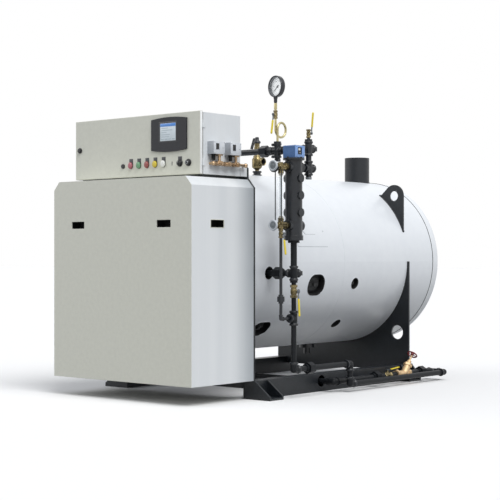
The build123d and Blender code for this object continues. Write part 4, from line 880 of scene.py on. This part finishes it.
block(head_scale, head_window, (17, 12, 0.5), (-2, 9, 0.8), 0.2)
turn(head_scale, head_window @ Matrix.Translation((0.003, -0.009, 0.0008)), ((3, 0), (3, 0.6), (0, 0.8)), 24)
# Painted light: the strips round the window and the window's frame, on the face toward the light, are the
# same enamel painted paler
blue_enamel_painted_light = finish("pale_blue_enamel_painted_light", "#8CB0E4", "#7BA0DA", 4, 0.3, 0.06, 0.05)
for name, form, surface in (
    ("head_lit_face", head_lit_face, blue_enamel_painted_light), ("head_window_frame", head_frame, blue_enamel_painted_light),
    ("head_window", head_pane, smoked), ("head_lid_seam", head_lid, head_blue),
    ("head_screws", lid_screws, zinc), ("head_scale", head_scale, white_mark),
):
    piece(name, form, surface, "boiler", "head_blue")
flange_bolts = bmesh.new()
column_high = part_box("water_column")[1]
bolt_circle = 0.0535
for k in range(4):
    around = pi / 2 * k
    bolt = Vector((head_middle.x + bolt_circle * cos(around), head_middle.y + bolt_circle * sin(around),
                   column_high.z))
    hexagon(flange_bolts, seat(bolt, UP, BACK), 11, 0, 6)
piece("flange_bolts", flange_bolts, iron, "boiler", "black_iron")

# Gauge glass: a borosilicate tube with water standing in it, between two brass cocks.
# Steel rods guard it, and grey iron handwheels shut it off. The glass is clear with bright edges.
tube_low, tube_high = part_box("glass_tube")
tube_middle = middle_of(tube_low, tube_high)
tube_foot = seat((tube_middle.x, tube_middle.y, tube_low.z), UP, BACK)
tube_length = (tube_high.z - tube_low.z) * 1000
tube, water = bmesh.new(), bmesh.new()
turn(tube, tube_foot, ((5.6, 0), (8, 0), (8, tube_length), (5.6, tube_length), (5.6, 0)), 32)
turn(water, tube_foot, ((0, 2), (5.5, 2), (5.5, 0.46 * tube_length), (4.6, 0.456 * tube_length),
                        (0, 0.454 * tube_length)), 24)
borosilicate = finish("borosilicate_tube", "#DCE6EA", "#CFDCE2", 30, 0.06, 0.02, Alpha=0.4)
boiler_water = finish("boiler_water", "#8FA6B8", "#7F97AB", 30, 0.1, 0.03, Alpha=0.85)
piece("gauge_tube", tube, borosilicate, "boiler", "glass", "glass_tube")
piece("gauge_water", water, boiler_water, "boiler", "glass")
# The guard rods are dark drawn steel with a thin line of shine
rod_steel = finish("dark_guard_rod", "#26292C", "#181A1C", 3, 0.34, 0.08, Specular_IOR_Level=0.38)
dress(rod_steel, "guard_rods")
# Packing nuts close on the tube, and small nuts hold the stems
gland_nuts = bmesh.new()
cock_reach = 0.036
for height, inward in ((tube_high.z + cock_reach, DOWN), (tube_low.z - cock_reach, UP)):
    gland = seat((tube_middle.x, tube_middle.y, height), inward, BACK)
    hexagon(gland_nuts, gland, 30, 30, 42)
    turn(gland_nuts, gland, ((0, 42), (13, 42), (13, 44), (11.4, 45), (11.4, 50), (10.2, 52), (0, 52)), 32)
    bonnet = seat((tube_middle.x, tube_middle.y, height), FRONT)
    hexagon(gland_nuts, bonnet, 33, 14, 24)
    turn(gland_nuts, bonnet, ((12.4, 24), (11, 31), (9, 34), (9, 44), (0, 44)), 32)
piece("gland_nuts", gland_nuts, aged_brass, "boiler", "valve_brass")
# Painted shade: a black half plate under the upper wheel, on its bonnet, stands for the shade below that
# wheel.
# A clear sleeve goes round the tube.
shade_crescent = bmesh.new()
crescent_seat = seat(pivots["upper_cock_wheel"], FRONT)
crescent_radius, bonnet_radius = 37, 8.6
outline = [(crescent_radius * cos(a), crescent_radius * sin(a)) for a in (radians(196 + 6 * k) for k in range(26))]
outline += [(bonnet_radius * cos(a), bonnet_radius * sin(a))
            for a in (radians(346 - 6 * k) for k in range(26))]
skin_between(shade_crescent, [on(crescent_seat, outline, z) for z in (-4.2, -1.2)], True, True)
piece("upper_cock_shade_crescent", shade_crescent, black_plastic, "boiler", "valve_brass")
sleeve = bmesh.new()
sleeve_bore, sleeve_radius, sleeve_top = 18, 19, tube_length - 4
turn(sleeve, tube_foot, ((sleeve_bore, 4), (sleeve_radius, 4), (sleeve_radius, sleeve_top),
                         (sleeve_bore, sleeve_top), (sleeve_bore, 4)), 40)
# Clear acrylic: hardly seen, but for a painted glow that shows it as a faint bright sleeve
sleeve_glow = finish("guard_sleeve_painted_glow", "#F6FAFC", "#EEF4F7", 30, 0.12, 0.02, Alpha=0.08,
                      Emission_Color=linear("#F4F8FC"), Emission_Strength=0.55)
piece("gauge_sleeve", sleeve, sleeve_glow, "boiler", "glass")
# Painted iron: a rough mid grey disc in a smoother rim, whose paler grey is a painted highlight
grey_iron = finish("grey_painted_iron", "#868D91", "#70777C", 4, 0.5, 0.08, 0.15)
rim_painted_highlight = finish("grey_rim_paint_painted_highlight", "#C9CED4", "#B6BCC3", 4, 0.36, 0.06, 0.05)
for wheel_name in ("upper_cock_wheel", "lower_cock_wheel"):
    wheel = bmesh.new()
    place = seat(pivots[wheel_name], FRONT)
    turn(wheel, place,
         ((0, 0), (8, 0), (8, 3), (21, 3), (21, 8.4), (17, 8), (10, 8), (8, 10.4), (0, 10.6)), 48)
    wheel_rim = bmesh.new()
    turn(wheel_rim, place, ((20.6, 2.6), (28.6, 1), (30.4, 2.4), (31, 5), (30.6, 8), (29, 10.4), (26.6, 11.6),
                            (23.6, 11.4), (20.8, 9.6), (20.6, 2.6)), 48)
    piece(wheel_name + "_rim", wheel_rim, rim_painted_highlight, wheel_name, "wheel_grey")
    hexagon(wheel, place, 9, 10.4, 12)
    piece(wheel_name + "_disc", wheel, grey_iron, wheel_name, "wheel_grey", wheel_name)

# Globe handwheel: one iron casting on the valve's stem, with five spokes from its hub to a round rim.
# It is dipped in dark red paint, which has run a little and shines softly.
red_iron = finish("dark_red_painted_iron", "#8A1620", "#5E0E16", 4, 0.38, 0.08, 0.12)
bonnet_way = Vector(next(joint["axis"] for joint in frame["joints"] if joint["child"] == "globe_handwheel"))
red_wheel = bmesh.new()
red_seat = seat(pivots["globe_handwheel"], bonnet_way)
rim_circle, rim_radius, spoke_count = 30.5, 4.5, 5
rim_section = [(rim_circle + rim_radius * cos(2 * pi * k / 12), rim_radius * sin(2 * pi * k / 12))
               for k in range(13)]
turn(red_wheel, red_seat, rim_section, 60)
turn(red_wheel, red_seat, ((0, -6), (9, -6), (10, -4), (10, 4), (9, 6.3), (0, 6.3)), 30)
for k in range(spoke_count):
    spoke = red_seat @ Matrix.Rotation(2 * pi * k / spoke_count, 4, "Z")
    path = [(8 + 20 * t / 8, 1.6 * sin(pi * t / 8)) for t in range(9)]
    bar(red_wheel, spoke, path, [loop(6.4 - 0.2 * t, 4.4, 2, 3) for t in range(9)])
piece("red_handwheel", red_wheel, red_iron, "globe_handwheel", "wheel_red", "globe_handwheel")

# Safety valve: a turned brass chest on a black flange, with a side outlet, a spring housing
# under a black cap, and a pressed steel lever on a pin through the cap.
dress(case_enamel, "safety_valve_lever")
safety_seat = seat((0, pivots["safety_valve_lever"].y, shell_high.z), UP, BACK)
flange, chest, cap = (bmesh.new() for _ in range(3))
turn(flange, safety_seat, ((22, 0.3), (30, 2.6), (32, 3.4), (32, 6), (24, 7), (23, 9), (23, 18.6), (28, 19.6),
                           (28.4, 21), (28.4, 28.4), (27.8, 29.2), (0, 29.4)), 48)
turn(chest, safety_seat, (
    (0, 29), (12.6, 29), (12.6, 37), (14, 38.4), (26, 47.6), (30, 52), (31.4, 56), (31.6, 60),
    (31.6, 101), (31, 104.6), (29, 107.6), (23, 115.6), (19.6, 122.6), (18.4, 126), (16.8, 129),
    (16.5, 133), (16.5, 166), (18.6, 167.6), (18.6, 180), (16.5, 181.6), (16.5, 203)), 60)
hexagon(chest, safety_seat, 42, 112, 126)
outlet_height = 0.0865
outlet_seat = seat(safety_seat @ Vector((0, 0, outlet_height)), RIGHT)
turn(chest, outlet_seat, (
    (20, 20), (20.4, 40), (22, 42), (25, 43), (25.8, 45), (25.8, 51.6), (24.8, 53.6), (22, 53.8),
    (20.6, 52.6), (17, 46), (16.4, 45), (16.4, 26)), 48)
turn(cap, safety_seat, ((16.8, 202), (20, 203), (22.6, 206), (23, 209), (22.4, 214), (19.6, 217.6), (14, 222),
                        (12.6, 224.4), (12.4, 236), (11.6, 240.4), (9, 242.6), (0, 243.2)), 48)
bore = bmesh.new()
turn(bore, outlet_seat, ((19.8, 52), (16.9, 46.4), (16.2, 45), (16.2, 27), (0, 27)), 48)
piece("safety_flange", flange, iron, "boiler", "black_iron")
piece("safety_chest", chest, aged_brass, "boiler", "valve_brass", "safety_valve")
piece("safety_bore", bore, rubber, "boiler", "valve_brass")
piece("safety_cap", cap, case_enamel, "boiler", "gauge_black")
